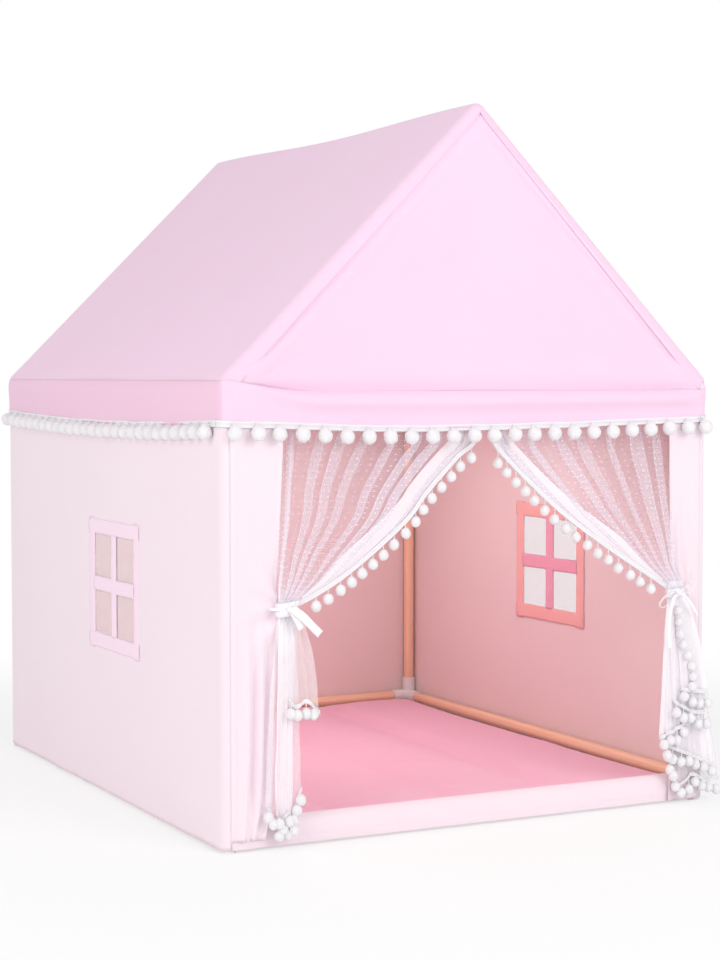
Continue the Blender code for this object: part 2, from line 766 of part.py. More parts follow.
def curtain_plane(z, tie_height):
    """The middle plane: behind the valance at the top, in front of the jamb at the tie."""
    behind = -POLE_Y - VALANCE_OFFSET + CLOTH / 2 + TULLE / 2 + GAP
    behind += curtain_depth(z, tie_height)
    high = VALANCE_FRONT_HEM - TAPE_HEIGHT - TAPE_LAP
    forward = ease((high - z) / (high - tie_height - TIE_APPROACH))
    return behind + (TAIL_PLANE - behind) * forward


def make_curtain(hand, sign, edge_table, strip, tie_x, tie_height):
    table, width, hem = strip
    top = HEADER_HEIGHT - GAP
    bottom = tie_height + TIE_STEP

    def edge_of(share):
        return leading_edge(edge_table, tie_x, tie_height, share)

    def outer_of(share):
        z = top + (bottom - top) * share
        beside = WIDTH / 2 - jamb_edge(table, width, top, hem, z) - GAP
        neck = abs(tie_x) + NECK_HALF_WIDTH
        gathered = ease((share - gather_start_share) / (1 - gather_start_share))
        return Vector((sign * (beside + (neck - beside) * gathered), 0.0, z))

    def inward(share):
        """A step across the hem tape, square to the free edge, into the curtain."""
        ahead = edge_of(min(share + 0.01, 1.0)) - edge_of(max(share - 0.01, 0.0))
        across = Vector((ahead.z, 0.0, -ahead.x)).normalized()
        return across if across.x * sign > 0 else -across

    def cloth(i, j):
        share = 1 - j / CURTAIN_ROWS
        across = i / CURTAIN_COLUMNS
        edge = edge_of(share) + inward(share) * (HEM_WIDTH + GAP) * ease((1 - share) * CURTAIN_ROWS)
        if share == 0.0:
            edge.z = top
        spot = edge.lerp(outer_of(share), across)
        wave = math.sin(2 * math.pi * CURTAIN_FOLDS * across)
        plane = curtain_plane(spot.z, tie_height)
        spot.y = plane + curtain_depth(spot.z, tie_height) * wave
        return spot

    drape(f"curtain_{hand}", CURTAIN_COLUMNS, CURTAIN_ROWS, cloth, TULLE, "tulle")

    def hem_tape(i, j):
        share = (j + 1) / CURTAIN_ROWS
        spot = edge_of(share) + inward(share) * HEM_WIDTH * i
        spot.y = curtain_plane(spot.z, tie_height)
        return spot

    tape = drape(f"hem_trim_{hand}", 1, CURTAIN_ROWS - 2, hem_tape, HEM, "trim_white")
    beads = hanging_poms(f"curtain pom-poms {hand}", edge_of, tie_height)
    boolean(tape, beads, "UNION")


def hanging_poms(name, edge_of, tie_height):
    """Pom-poms on threads below a curtain's free edge, at an even pitch along it."""
    shares = last_pom_share - first_pom_share
    fine = [edge_of(first_pom_share + shares * k / 200) for k in range(201)]
    for spot in fine:
        spot.y = curtain_plane(spot.z, tie_height)
    centres = []
    run = SMALL_POM_PITCH / 2
    for before, after in zip(fine, fine[1:]):
        run += (after - before).length
        if run >= SMALL_POM_PITCH:
            run -= SMALL_POM_PITCH
            centres.append(after)
    bm = bmesh.new()
    for centre in centres:
        pom_on_thread(bm, centre)
    return object_of(name, bm)


def pom_on_thread(bm, top):
    """A ball whose upper face is drawn up into a thread that ends in the tape at top."""
    made = bmesh.ops.create_icosphere(bm, subdivisions=1, radius=SMALL_POM_RADIUS)
    faces = {face for vertex in made["verts"] for face in vertex.link_faces}
    bm.normal_update()
    crown = max(faces, key=lambda face: face.normal.z + face.normal.x / 100)
    turn = crown.normal.rotation_difference(UP).to_matrix()
    bmesh.ops.rotate(bm, cent=Vector(), matrix=turn, verts=made["verts"])
    height = crown.calc_center_median().z
    side = max((edge.calc_length() for edge in crown.edges))
    bmesh.ops.inset_individual(
        bm, faces=[crown], thickness=side / math.sqrt(12) - THREAD / math.sqrt(3)
    )
    thread = bmesh.ops.extrude_discrete_faces(bm, faces=[crown])["faces"]
    rise = SMALL_POM_RADIUS + THREAD_LENGTH - height
    bmesh.ops.translate(bm, vec=UP * rise, verts=thread[0].verts)
    ends = {vertex for face in thread for vertex in face.verts}
    everything = set(made["verts"]) | ends
    for vertex in list(everything):
        for edge in vertex.link_edges:
            everything.update(edge.verts)
    drop = SMALL_POM_RADIUS + THREAD_LENGTH - HEM_WIDTH * thread_lap_share
    bmesh.ops.translate(bm, vec=top - UP * drop, verts=list(everything))


def make_tail(hand, edge_table, hem_table, tie_x, tie_height, length, ribbon_drop):
    """The part of a curtain below its tie, gathered at the top and folded down its length."""
    top = tie_height
    opening = top - PIVOT_DROP - ribbon_drop
    neck_row = (top - opening + RIBBON_WIDTH + RIBBON) / length
    neck = NECK_HALF_WIDTH / length
    outline = ((0.0, -neck, neck), (neck_row, -neck, neck)) + edge_table

    def edges(share):
        spot = through(outline, share)
        return tie_x + spot.x * length, tie_x + spot.y * length

    def depth(z):
        return (TAIL_HALF_DEPTH - TULLE / 2) * ease((opening - z) / (5 * TAIL_HALF_DEPTH))

    def spot_at(across, share):
        left, right = edges(share)
        return Vector((left + (right - left) * across, TAIL_PLANE, top - length * share))

    def cloth(i, j):
        down = TAIL_ROWS - j
        below = (down - 1) / (TAIL_ROWS - 1)
        share = neck_row + (1 - neck_row) * below**tail_row_power if down else 0.0
        spot = spot_at(i / TAIL_COLUMNS, share)
        wave = math.cos(2 * math.pi * TAIL_FOLDS * i / TAIL_COLUMNS)
        spot.y += depth(spot.z) * wave
        return spot

    tail = drape(f"tail_{hand}", TAIL_COLUMNS, TAIL_ROWS, cloth, TULLE, "tulle")

    front = TAIL_PLANE - TAIL_HALF_DEPTH - GAP - HEM / 2
    turns = [spot_at(across, share) for across, share in hem_table]
    trim = None
    centres = []
    for number, (before, after) in enumerate(zip(turns, turns[1:])):
        before.y = after.y = front - HEM_STEP * (number % 2)
        band = tape_between(before, after)
        if trim is None:
            trim = object_of(f"tail_trim_{hand}", band, "trim_white")
        else:
            boolean(trim, object_of(f"hem band {hand} {number}", band), "UNION")
        count = round((after - before).length / SMALL_POM_PITCH)
        for k in range(count if abs(after.x - before.x) > abs(after.z - before.z) else 0):
            spot = before.lerp(after, (k + 0.5) / count)
            spot += -UP * (HEM_WIDTH / 2) - BACK * (HEM / 2 + SMALL_POM_RADIUS * pom_sunk_share)
            if all((spot - other).length > 2 * SMALL_POM_RADIUS for other in centres):
                centres.append(spot)
    boolean(trim, balls(f"tail pom-poms {hand}", centres, SMALL_POM_RADIUS), "UNION")
    return [tail, trim]


def tape_between(before, after):
    """A straight length of hem tape with its ends square, a little longer than the run."""
    run = after - before
    angle = math.atan2(run.z, run.x)
    place = Matrix.Translation((before + after) / 2) @ Matrix.Rotation(-angle, 4, "Y")
    size = Vector((run.length + HEM_WIDTH * tape_lap_share, HEM, HEM_WIDTH))
    bm = bmesh.new()
    bmesh.ops.create_cube(bm, size=1.0, matrix=place @ Matrix.Diagonal(size).to_4x4())
    return bm


# Ribbon ties


def neck_outline(half_width, half_depth, sides=16):
    """A flattened ring with full corners, as a ribbon lies round gathered cloth."""

    def fuller(value):
        return math.copysign(math.sqrt(abs(value)), value)

    turns = [2 * math.pi * k / sides for k in range(sides)]
    return [
        (half_width * fuller(math.cos(turn)), half_depth * fuller(math.sin(turn)))
        for turn in turns
    ]


def loop_outline(length, width, margin, steps=10):
    """A teardrop from the knot at the origin out to the end of a bow's loop."""
    points = []
    for k in range(steps):
        t = 2 * math.pi * k / steps
        x = length * (1 - math.cos(t)) / 2
        y = width / 2 * math.sin(t) * (1 - math.cos(t)) / 2
        shrink = 1 - 2 * margin / length
        points.append((length / 2 + (x - length / 2) * shrink, y * (1 - 2 * margin / width)))
    return points


def make_tie(hand, tie_x, tie_height, drop, end_length, ends, loops):
    """A ribbon round the neck of the tail, its knot in front, and its loose ends and loops."""
    middle = tie_height - PIVOT_DROP - drop - RIBBON_WIDTH / 2
    inner_x = NECK_HALF_WIDTH + RIBBON_EASE
    inner_y = TAIL_HALF_DEPTH + GAP
    band = plate(
        f"tie_{hand}",
        [neck_outline(inner_x + RIBBON, inner_y + RIBBON), neck_outline(inner_x, inner_y)],
        RIBBON_WIDTH, Matrix.Translation((tie_x, TAIL_PLANE, middle)), "trim_white",
    )
    knot_centre = Vector((tie_x, TAIL_PLANE - inner_y - KNOT_RADIUS * knot_sunk_share, middle))
    knot = balls(f"knot {hand}", [knot_centre], KNOT_RADIUS, 10, 6)
    boolean(band, knot, "UNION")
    front = knot_centre.y
    for number, turns in enumerate(ends):
        angle = -math.pi / 2 + 2 * math.pi * turns
        strip = [(0.0, -RIBBON_WIDTH / 3), (end_length, -RIBBON_WIDTH / 2)]
        slant = end_length * ribbon_slant_share
        strip += [(slant, RIBBON_WIDTH / 2), (0.0, RIBBON_WIDTH / 3)]
        place = Matrix.Translation((knot_centre.x, front + number * 2 * RIBBON, middle))
        place @= Matrix.Rotation(math.pi / 2, 4, "X") @ Matrix.Rotation(angle, 4, "Z")
        end = plate(f"ribbon end {hand} {number}", [strip], RIBBON, place, None)
        boolean(band, end, "UNION")
    for number, turns in enumerate(loops):
        angle = 2 * math.pi * turns
        place = Matrix.Translation((knot_centre.x, front - RIBBON * number, middle))
        place @= Matrix.Rotation(math.pi / 2, 4, "X") @ Matrix.Rotation(angle, 4, "Z")
        loop_width = BOW_LOOP * loop_width_share
        outline = loop_outline(BOW_LOOP, loop_width, 0.0)
        hole = loop_outline(BOW_LOOP, loop_width, 2 * RIBBON)
        loop = plate(f"bow loop {hand} {number}", [outline, hole], RIBBON_WIDTH / 3, place, None)
        boolean(band, loop, "UNION")
    return band


def hang(hand, tie_x, tie_height, pieces):
    """Hangs the tail's pieces from the line below the gather where they swing outwards."""
    pivot = Vector((tie_x, TAIL_PLANE, tie_height - PIVOT_DROP))
    line = bpy.data.objects.new(f"{hand}_tail_pivot", None)
    line.location = pivot
    tent.objects.link(line)
    for piece in pieces:
        piece.parent = line
        piece.matrix_parent_inverse = Matrix.Translation(-pivot)


# Floor mat


def make_mat():
    half_x = POLE_X - SOCKET_RADIUS - MAT_MARGIN
    half_y = POLE_Y - SOCKET_RADIUS - MAT_MARGIN
    rounding = MAT_SEAM_HEIGHT

    def spread(share):
        """Grid lines closer together near the edges, where the pad rounds over."""
        return math.sin(math.pi / 2 * (2 * share - 1))

    def pad(height_of):
        bm = bmesh.new()
        bmesh.ops.create_grid(bm, x_segments=MAT_COLUMNS, y_segments=MAT_ROWS, size=0.5)
        for vertex in bm.verts:
            u = spread(vertex.co.x + 0.5)
            v = spread(vertex.co.y + 0.5)
            edge = min((1 - abs(u)) * half_x, (1 - abs(v)) * half_y)
            vertex.co = (u * half_x, v * half_y, height_of(edge, v))
        return bm

    def upper(edge, v):
        rise = math.sqrt(1 - (1 - min(edge / rounding / 3, 1.0)) ** 2)
        crown = MAT_THICKNESS - MAT_SEAM_HEIGHT
        channel = MAT_CHANNEL_DEPTH * abs(math.cos(math.pi * MAT_CHANNELS * v / 2)) ** 8
        return MAT_SEAM_HEIGHT + crown * rise - channel * ease(edge / rounding / 3)

    def lower(edge, v):
        rise = math.sqrt(1 - (1 - min(edge / rounding, 1.0)) ** 2)
        return MAT_SEAM_HEIGHT * (1 - rise) + GAP

    bm = pad(lower)
    top = pad(lambda edge, v: upper(edge, v) + GAP)
    mesh = bpy.data.meshes.new("mat top")
    top.to_mesh(mesh)
    top.free()
    bm.from_mesh(mesh)
    bpy.data.meshes.remove(mesh)
    bmesh.ops.remove_doubles(bm, verts=bm.verts, dist=0.00005)
    for face in bm.faces[:]:
        reach = [abs(vertex.co.x / half_x) + abs(vertex.co.y / half_y) for vertex in face.verts]
        corner = reach.index(max(reach))
        if reach[corner] > 2 - 1e-6:
            bmesh.utils.face_split(face, face.verts[corner], face.verts[corner - 2])
    bmesh.ops.recalc_face_normals(bm, faces=bm.faces)
    smooth(object_of("floor_mat", bm, "mat_pink"), 60)


make_frame()
make_roof()
make_gables()
make_walls()
make_jambs()
make_threshold()
make_side_valances()
make_end_valances()
make_curtain(
    "left", -1.0, left_leading_edge_shares,
    (left_jamb_edge_shares, LEFT_JAMB_WIDTH, LEFT_JAMB_HEM), LEFT_TIE_X, LEFT_TIE_HEIGHT,
)
make_curtain(
    "right", 1.0, right_leading_edge_shares,
    (right_jamb_edge_shares, RIGHT_JAMB_WIDTH, RIGHT_JAMB_HEM), RIGHT_TIE_X, RIGHT_TIE_HEIGHT,
)
left_pieces = make_tail(
    "left", left_tail_edge_shares, left_tail_hem_shares, LEFT_TIE_X, LEFT_TIE_HEIGHT,
    LEFT_TAIL_LENGTH, LEFT_RIBBON_DROP,
)
left_pieces.append(
    make_tie(
        "left", LEFT_TIE_X, LEFT_TIE_HEIGHT, LEFT_RIBBON_DROP, LEFT_RIBBON_END_LENGTH,
        left_ribbon_end_turns_shares, (),
    )
)
hang("left", LEFT_TIE_X, LEFT_TIE_HEIGHT, left_pieces)
right_pieces = make_tail(
    "right", right_tail_edge_shares, right_tail_hem_shares, RIGHT_TIE_X, RIGHT_TIE_HEIGHT,
    RIGHT_TAIL_LENGTH, RIGHT_RIBBON_DROP,
)
right_pieces.append(
    make_tie(
        "right", RIGHT_TIE_X, RIGHT_TIE_HEIGHT, RIGHT_RIBBON_DROP, RIBBON_END_LENGTH,
        right_ribbon_end_turns_shares, bow_loop_turns_shares,
    )
)
hang("right", RIGHT_TIE_X, RIGHT_TIE_HEIGHT, right_pieces)
make_mat()
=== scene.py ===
import math

import bpy
from mathutils import Matrix, Vector, noise


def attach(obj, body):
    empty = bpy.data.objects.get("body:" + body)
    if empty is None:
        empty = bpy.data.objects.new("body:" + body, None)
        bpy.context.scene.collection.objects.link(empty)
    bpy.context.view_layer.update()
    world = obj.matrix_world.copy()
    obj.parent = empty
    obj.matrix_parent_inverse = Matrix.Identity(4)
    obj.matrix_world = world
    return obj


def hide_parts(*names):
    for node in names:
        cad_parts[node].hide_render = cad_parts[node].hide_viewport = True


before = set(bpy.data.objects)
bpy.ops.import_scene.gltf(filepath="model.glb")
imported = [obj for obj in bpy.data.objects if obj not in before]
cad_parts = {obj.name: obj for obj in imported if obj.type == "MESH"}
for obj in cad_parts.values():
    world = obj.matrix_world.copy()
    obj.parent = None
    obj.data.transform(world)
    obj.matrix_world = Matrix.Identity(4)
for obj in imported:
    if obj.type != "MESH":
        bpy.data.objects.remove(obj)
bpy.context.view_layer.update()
print("frame loaded")

# Sizes that the cover, the frame and the trims share, in metres
tent = {
    "poleX": 0.5094,
    "poleY": 0.5974,
    "floorRail": 0.0425,
    "eave": 0.8376,
    "ridge": 1.3424,
    "ridgeSag": 0.009,
    "poleRadius": 0.0125,
    "free": 0.5514,      # where the ridge pole leaves its sockets
    "outside": 0.0176,   # from a pole's axis to the outside of the cloth
    "header": 0.8097,
    "seam": 0.825,       # where the gables and the roof's bands are sewn to the valance
    "cloth": 0.0011,
    "weld": 0.00005,
}
slope = math.atan2(tent["ridge"] - tent["eave"], tent["poleX"])
front = -(tent["poleY"] + tent["outside"])
side = tent["poleX"] + tent["outside"]
middle = Vector((0.0, 0.0, 0.55))
hands = (("left", -1), ("right", 1))
ends = (("front", -1), ("back", 1))


# Helpers

def ease(t):
    t = min(max(t, 0.0), 1.0)
    return t * t * (3 - 2 * t)


def bump(x, width):
    return math.exp(-((x / width) ** 2))


def soft(x, y, z=0.0):
    return noise.noise(Vector((x, y, z)))


def through(table, share):
    # Smooth curve through rows of (share, value, ...)
    last = len(table) - 1
    k = 0
    while k < last - 1 and share > table[k + 1][0]:
        k += 1
    rows = [Vector(row[1:] + (0.0,) * (4 - len(row))) for row in table]
    keys = [row[0] for row in table]
    span = keys[k + 1] - keys[k]
    t = min(max((share - keys[k]) / span, 0.0), 1.0)
    low, high = max(k - 1, 0), min(k + 2, last)
    start = (rows[k + 1] - rows[low]) / (keys[k + 1] - keys[low]) * span
    end = (rows[high] - rows[k]) / (keys[high] - keys[k]) * span
    return (
        rows[k] * (2 * t**3 - 3 * t**2 + 1)
        + start * (t**3 - 2 * t**2 + t)
        + rows[k + 1] * (3 * t**2 - 2 * t**3)
        + end * (t**3 - t**2)
    )


def deselect():
    if bpy.context.mode != "OBJECT":
        bpy.ops.object.mode_set(mode="OBJECT")
    bpy.ops.object.select_all(action="DESELECT")


def pick(piece):
    deselect()
    piece.select_set(True)
    bpy.context.view_layer.objects.active = piece


def modify(piece, kind, **values):
    pick(piece)
    bpy.ops.object.modifier_add(type=kind)
    modifier = piece.modifiers[-1]
    for key, value in values.items():
        setattr(modifier, key, value)
    bpy.ops.object.modifier_apply(modifier=modifier.name)


def smoothOf(piece):
    pick(piece)
    bpy.ops.object.shade_smooth()


def onMesh(piece, step, wanted=None):
    # Runs a mesh operator on the whole piece, or on the faces that are wanted
    pick(piece)
    bpy.ops.object.mode_set(mode="EDIT")
    if wanted:
        bpy.ops.mesh.select_mode(type="FACE")
        bpy.ops.mesh.select_all(action="DESELECT")
        bpy.ops.object.mode_set(mode="OBJECT")
        for face in piece.data.polygons:
            face.select = wanted(face)
        bpy.ops.object.mode_set(mode="EDIT")
    else:
        bpy.ops.mesh.select_all(action="SELECT")
    step()
    bpy.ops.object.mode_set(mode="OBJECT")


def faceOut(piece, inside=middle):
    # Turns the sheet round if its faces look to the inside of the tent
    faces = piece.data.polygons
    if sum(face.area * face.normal.dot(face.center - inside) for face in faces) < 0:
        onMesh(piece, bpy.ops.mesh.flip_normals)


def weld(piece):
    onMesh(piece, lambda: bpy.ops.mesh.remove_doubles(threshold=tent["weld"]))


def clothGrid(name, columns, rows, place, flat):
    # A grid of cloth, placed point by point, with its UV map in metres
    deselect()
    bpy.ops.mesh.primitive_grid_add(x_subdivisions=columns, y_subdivisions=rows, size=1)
    piece = bpy.context.active_object
    piece.name = name
    mesh = piece.data
    mesh.name = name
    shares = []
    spots = []
    for vertex in mesh.vertices:
        u = round((vertex.co.x + 0.5) * columns) / columns
        v = round((vertex.co.y + 0.5) * rows) / rows
        shares.append((u, v))
        spots.extend(place(u, v))
    mesh.vertices.foreach_set("co", spots)
    layer = mesh.uv_layers.active.data
    for loop in mesh.loops:
        u, v = shares[loop.vertex_index]
        layer[loop.index].uv = (u * flat[0], v * flat[1])
    mesh.update()
    return piece


def finishCloth(piece, outer, inner=None, thickness=tent["cloth"], inside=middle):
    smoothOf(piece)
    faceOut(piece, inside)
    piece.data.materials.append(outer)
    piece.data.materials.append(inner or outer)
    modify(piece, "SOLIDIFY", thickness=thickness, offset=-1.0, material_offset=1)
    return piece


def joined(name, parts):
    deselect()
    for part in parts:
        part.select_set(True)
    bpy.context.view_layer.objects.active = parts[0]
    if len(parts) > 1:
        bpy.ops.object.join()
    parts[0].name = parts[0].data.name = name
    return parts[0]


def carried(piece, body, nodes=()):
    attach(piece, body)
    if nodes:
        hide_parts(*nodes)
    return piece


def clothPiece(name, counts, place, flat, cloths, nodes, slotName, shaped=None, **finish):
    # A panel of the cover: its grid, what is done to the grid, its thickness and its place
    piece = clothGrid(name, *counts, place, flat)
    if shaped:
        shaped(piece)
    finishCloth(piece, *cloths, **finish)
    return carried(piece, "tent", nodes)


def placedRod(start, end, radius, vertices):
    # A rod along z, and the matrix that lays it between two points
    start, end = Vector(start), Vector(end)
    run = end - start
    deselect()
    bpy.ops.mesh.primitive_cylinder_add(vertices=vertices, radius=radius, depth=run.length)
    turn = run.to_track_quat("Z", "Y").to_matrix().to_4x4()
    return bpy.context.active_object, Matrix.Translation((start + end) / 2) @ turn


# Materials

def wire(tree, node, values):
    # Sets a node's inputs: another node's output is linked, anything else is typed in
    for key, value in values.items():
        if isinstance(value, bpy.types.NodeSocket):
            tree.links.new(value, node.inputs[key])
        else:
            node.inputs[key].default_value = value


def addNode(tree, kind, values, output=0, **settings):
    node = tree.nodes.new("ShaderNode" + kind)
    for key, value in settings.items():
        setattr(node, key, value)
    wire(tree, node, values)
    return node.outputs[output]


def newMaterial(name):
    made = bpy.data.materials.new(name)
    made.use_nodes = True
    return made, made.node_tree, made.node_tree.nodes["Principled BSDF"]


def mixedColour(tree, factor, first, second):
    colours = {0: factor, 6: (*first, 1.0), 7: (*second, 1.0)}
    return addNode(tree, "Mix", colours, 2, data_type="RGBA")


def noiseOf(tree, vector, scale, detail=2.0, rough=0.5):
    values = {"Vector": vector, "Scale": scale, "Detail": detail, "Roughness": rough}
    return addNode(tree, "TexNoise", values, "Fac")


def waveOf(tree, vector, direction, period, distortion):
    values = {"Vector": vector, "Scale": math.pi / 10 / period, "Distortion": distortion}
    return addNode(tree, "TexWave", values, "Fac", wave_type="BANDS", bands_direction=direction)


def mathOf(tree, kind, *values):
    return addNode(tree, "Math", dict(enumerate(values)), operation=kind)


def bumpOf(tree, height, strength, distance):
    values = {"Height": height, "Strength": strength, "Distance": distance}
    return addNode(tree, "Bump", values, "Normal")


def rampOf(tree, factor, rows):
    # A ramp through rows of (position, colour)
    ramp = addNode(tree, "ValToRGB", {"Fac": factor}, "Color")
    stops = ramp.node.color_ramp.elements
    stops[0].position, stops[1].position = rows[0][0], rows[-1][0]
    for position, _ in rows[1:-1]:
        stops.new(position)
    for stop, (_, colour) in zip(stops, rows):
        stop.color = (*colour, 1)
    return ramp


cotton = {
    "weave": 0.0017,
    "waver": 0.6,
    "mottling": (5.0, 3.0, 0.75),   # scale, detail and share of the tone
    "slubs": (160.0, 0.3, 0.5),     # scale, share of the tone and of the height
    "roughness": 0.82,
    "sheen": 0.25,
    "relief": (0.35, 0.0004),
}

def cottonMaterial(name, light, dark, period=cotton["weave"]):
    # Plain-woven cotton: crossed threads, soft mottling and slubs
    made, tree, shader = newMaterial(name)
    uv = addNode(tree, "UVMap", {}, "UV")
    warp, weft = [waveOf(tree, uv, way, period, cotton["waver"]) for way in "XY"]
    threads = mathOf(tree, "MULTIPLY", warp, weft)
    scale, detail, share = cotton["mottling"]
    cloudy = mathOf(tree, "MULTIPLY", noiseOf(tree, uv, scale, detail), share)
    scale, share, high = cotton["slubs"]
    slubs = noiseOf(tree, uv, scale)
    tone = mathOf(tree, "ADD", cloudy, mathOf(tree, "MULTIPLY", slubs, share))
    height = mathOf(tree, "ADD", threads, mathOf(tree, "MULTIPLY", slubs, high))
    wire(tree, shader, {
        "Base Color": mixedColour(tree, tone, light, dark),
        "Roughness": cotton["roughness"],
        "Sheen Weight": cotton["sheen"],
        "Sheen Roughness": 0.5,
        "Specular IOR Level": 0.2,
        "Normal": bumpOf(tree, height, *cotton["relief"]),
    })
    return made


netting = {
    "dotPitch": 0.0125,
    "dotScatter": 0.35,
    "dotEdge": (0.19, 0.13),
    "threads": (0.0031, 0.0042),
    "waver": 1.5,
    "cloudy": 22.0,
    "grain": (0.1, 0.65),
    "spread": (0.93, 1.10),
    "gathered": 0.8,
    "shade": 0.94,
    "roughness": 0.7,
    "sheen": 0.3,
    "relief": (0.12, 0.0004),
    "paintedGlow": 0.035,
}

def tulleMaterial(name, density, dot, colour, lightThrough=0.3, paintedGlow=None, cover=None):
    # Dotted net: fine threads with small woven dots, clear between them
    made, tree, shader = newMaterial(name)
    uv = addNode(tree, "UVMap", {}, "UV")
    cells = {
        "Vector": uv, "Scale": 1 / netting["dotPitch"], "Randomness": netting["dotScatter"],
    }
    cells = addNode(tree, "TexVoronoi", cells, "Distance", voronoi_dimensions="2D")
    fromMin, fromMax = netting["dotEdge"]
    dots = addNode(tree, "MapRange", {"Value": cells, "From Min": fromMin, "From Max": fromMax})
    across, along = [
        waveOf(tree, uv, way, period, netting["waver"])
        for way, period in zip("XY", netting["threads"])
    ]
    threads = mathOf(tree, "MAXIMUM", mathOf(tree, "MULTIPLY", across, 0.6), along)
    cloudy = noiseOf(tree, uv, netting["cloudy"])
    level = addNode(tree, "MapRange", {
        "Value": mathOf(tree, "MULTIPLY", threads, cloudy),
        "From Min": netting["grain"][0],
        "From Max": netting["grain"][1],
        "To Min": density * netting["spread"][0],
        "To Max": density * netting["spread"][1],
    })
    gather = addNode(tree, "Attribute", {}, "Fac", attribute_name="gather")
    alpha = mathOf(tree, "MAXIMUM", level, mathOf(tree, "MULTIPLY", dots, dot))
    alpha = mathOf(tree, "ADD", alpha, mathOf(tree, "MULTIPLY", gather, netting["gathered"]))
    tint = tuple(c * netting["shade"] for c in colour)
    wire(tree, shader, {
        "Base Color": mixedColour(tree, cloudy, colour, tint),
        "Roughness": netting["roughness"],
        "Sheen Weight": netting["sheen"],
        "Specular IOR Level": 0.2,
        "Normal": bumpOf(tree, threads, *netting["relief"]),
    })
    if paintedGlow:
        # Painted glow that stands in for light the layers scatter among themselves, which few
        # bounces leave out
        glow = {"Emission Color": (*paintedGlow, 1.0), "Emission Strength": netting["paintedGlow"]}
        wire(tree, shader, glow)
    # Light also comes through the threads, and the holes are clear
    glow = addNode(tree, "BsdfTranslucent", {"Color": (*colour, 1.0)})
    lit = addNode(tree, "MixShader", {0: lightThrough, 1: shader.outputs[0], 2: glow})
    clear = addNode(tree, "BsdfTransparent", {})
    net = addNode(tree, "MixShader", {0: cover(tree, uv) if cover else alpha, 1: clear, 2: lit})
    wire(tree, tree.nodes["Material Output"], {"Surface": net})
    return made


tape = {
    # (centimetres up the UV map, how far the tape covers)
    "cover": ((0.0, 0.95), (0.26, 0.95), (0.32, 0.85), (0.66, 0.85), (0.72, 0.95), (0.84, 0.95)),
    # (share of the height, how thick the tape is there)
    "rows": (
        (0.0, 0.2), (0.10, 1.2), (0.22, 1.0), (0.34, 0.25), (0.5, 0.15),
        (0.64, 0.25), (0.76, 0.8), (0.88, 1.0), (1.0, 0.2),
    ),
    "cord": 0.0009,
    "unevenness": 0.00025,
    "thickness": 0.0007,
}

def tapeCover(tree, uv):
    # Openwork tape: a corded edge above and below, see-through between them
    up = mathOf(tree, "MULTIPLY", addNode(tree, "SeparateXYZ", {0: uv}, "Y"), 100.0)
    return rampOf(tree, up, [(spot, (cover,) * 3) for spot, cover in tape["cover"]])


yarn = {"light": (0.98, 0.97, 0.98), "dark": (0.88, 0.86, 0.89), "fibres": (700.0, 4.0, 0.7),
        "relief": (0.8, 0.0016)}

def yarnMaterial(name):
    made, tree, shader = newMaterial(name)
    place = addNode(tree, "TexCoord", {}, "Object")
    fibres = noiseOf(tree, place, *yarn["fibres"])
    wire(tree, shader, {
        "Base Color": mixedColour(tree, fibres, yarn["dark"], yarn["light"]),
        "Roughness": 0.9,
        "Sheen Weight": 0.5,
        "Specular IOR Level": 0.1,
        "Normal": bumpOf(tree, fibres, *yarn["relief"]),
    })
    return made


wood = {
    "grainScale": (30.0, 1.6, 1.0),
    "poreScale": (400.0, 14.0, 1.0),
    "ringPeriod": 0.35,
    "tones": ((0.3, (1.0, 0.68, 0.50)), (0.95, (0.95, 0.54, 0.36))),
    "relief": (0.15, 0.0004),
}

def pineMaterial(name):
    made, tree, shader = newMaterial(name)
    uv = addNode(tree, "UVMap", {}, "UV")
    long, fine = [
        addNode(tree, "Mapping", {"Vector": uv, "Scale": wood[scale]})
        for scale in ("grainScale", "poreScale")
    ]
    grain = noiseOf(tree, long, 3.0, 5.0, 0.6)
    pores = noiseOf(tree, fine, 2.0)
    rings = waveOf(tree, long, "X", wood["ringPeriod"], 4.0)
    tone = mathOf(tree, "ADD", mathOf(tree, "MULTIPLY", rings, 0.35), grain)
    wire(tree, shader, {
        "Base Color": rampOf(tree, tone, wood["tones"]),
        "Roughness": 0.55,
        "Specular IOR Level": 0.35,
        "Normal": bumpOf(tree, mathOf(tree, "ADD", grain, pores), *wood["relief"]),
    })
    return made


plastic = {"colour": (0.86, 0.82, 0.80), "shade": 0.93, "roughness": 0.42, "relief": (0.15, 0.0002)}

def plasticMaterial(name):
    made, tree, shader = newMaterial(name)
    place = addNode(tree, "TexCoord", {}, "Object")
    tint = tuple(c * plastic["shade"] for c in plastic["colour"])
    wire(tree, shader, {
        "Base Color": mixedColour(tree, noiseOf(tree, place, 40.0, 3.0), plastic["colour"], tint),
        "Roughness": plastic["roughness"],
        "Normal": bumpOf(tree, noiseOf(tree, place, 900.0), *plastic["relief"]),
    })
    return made


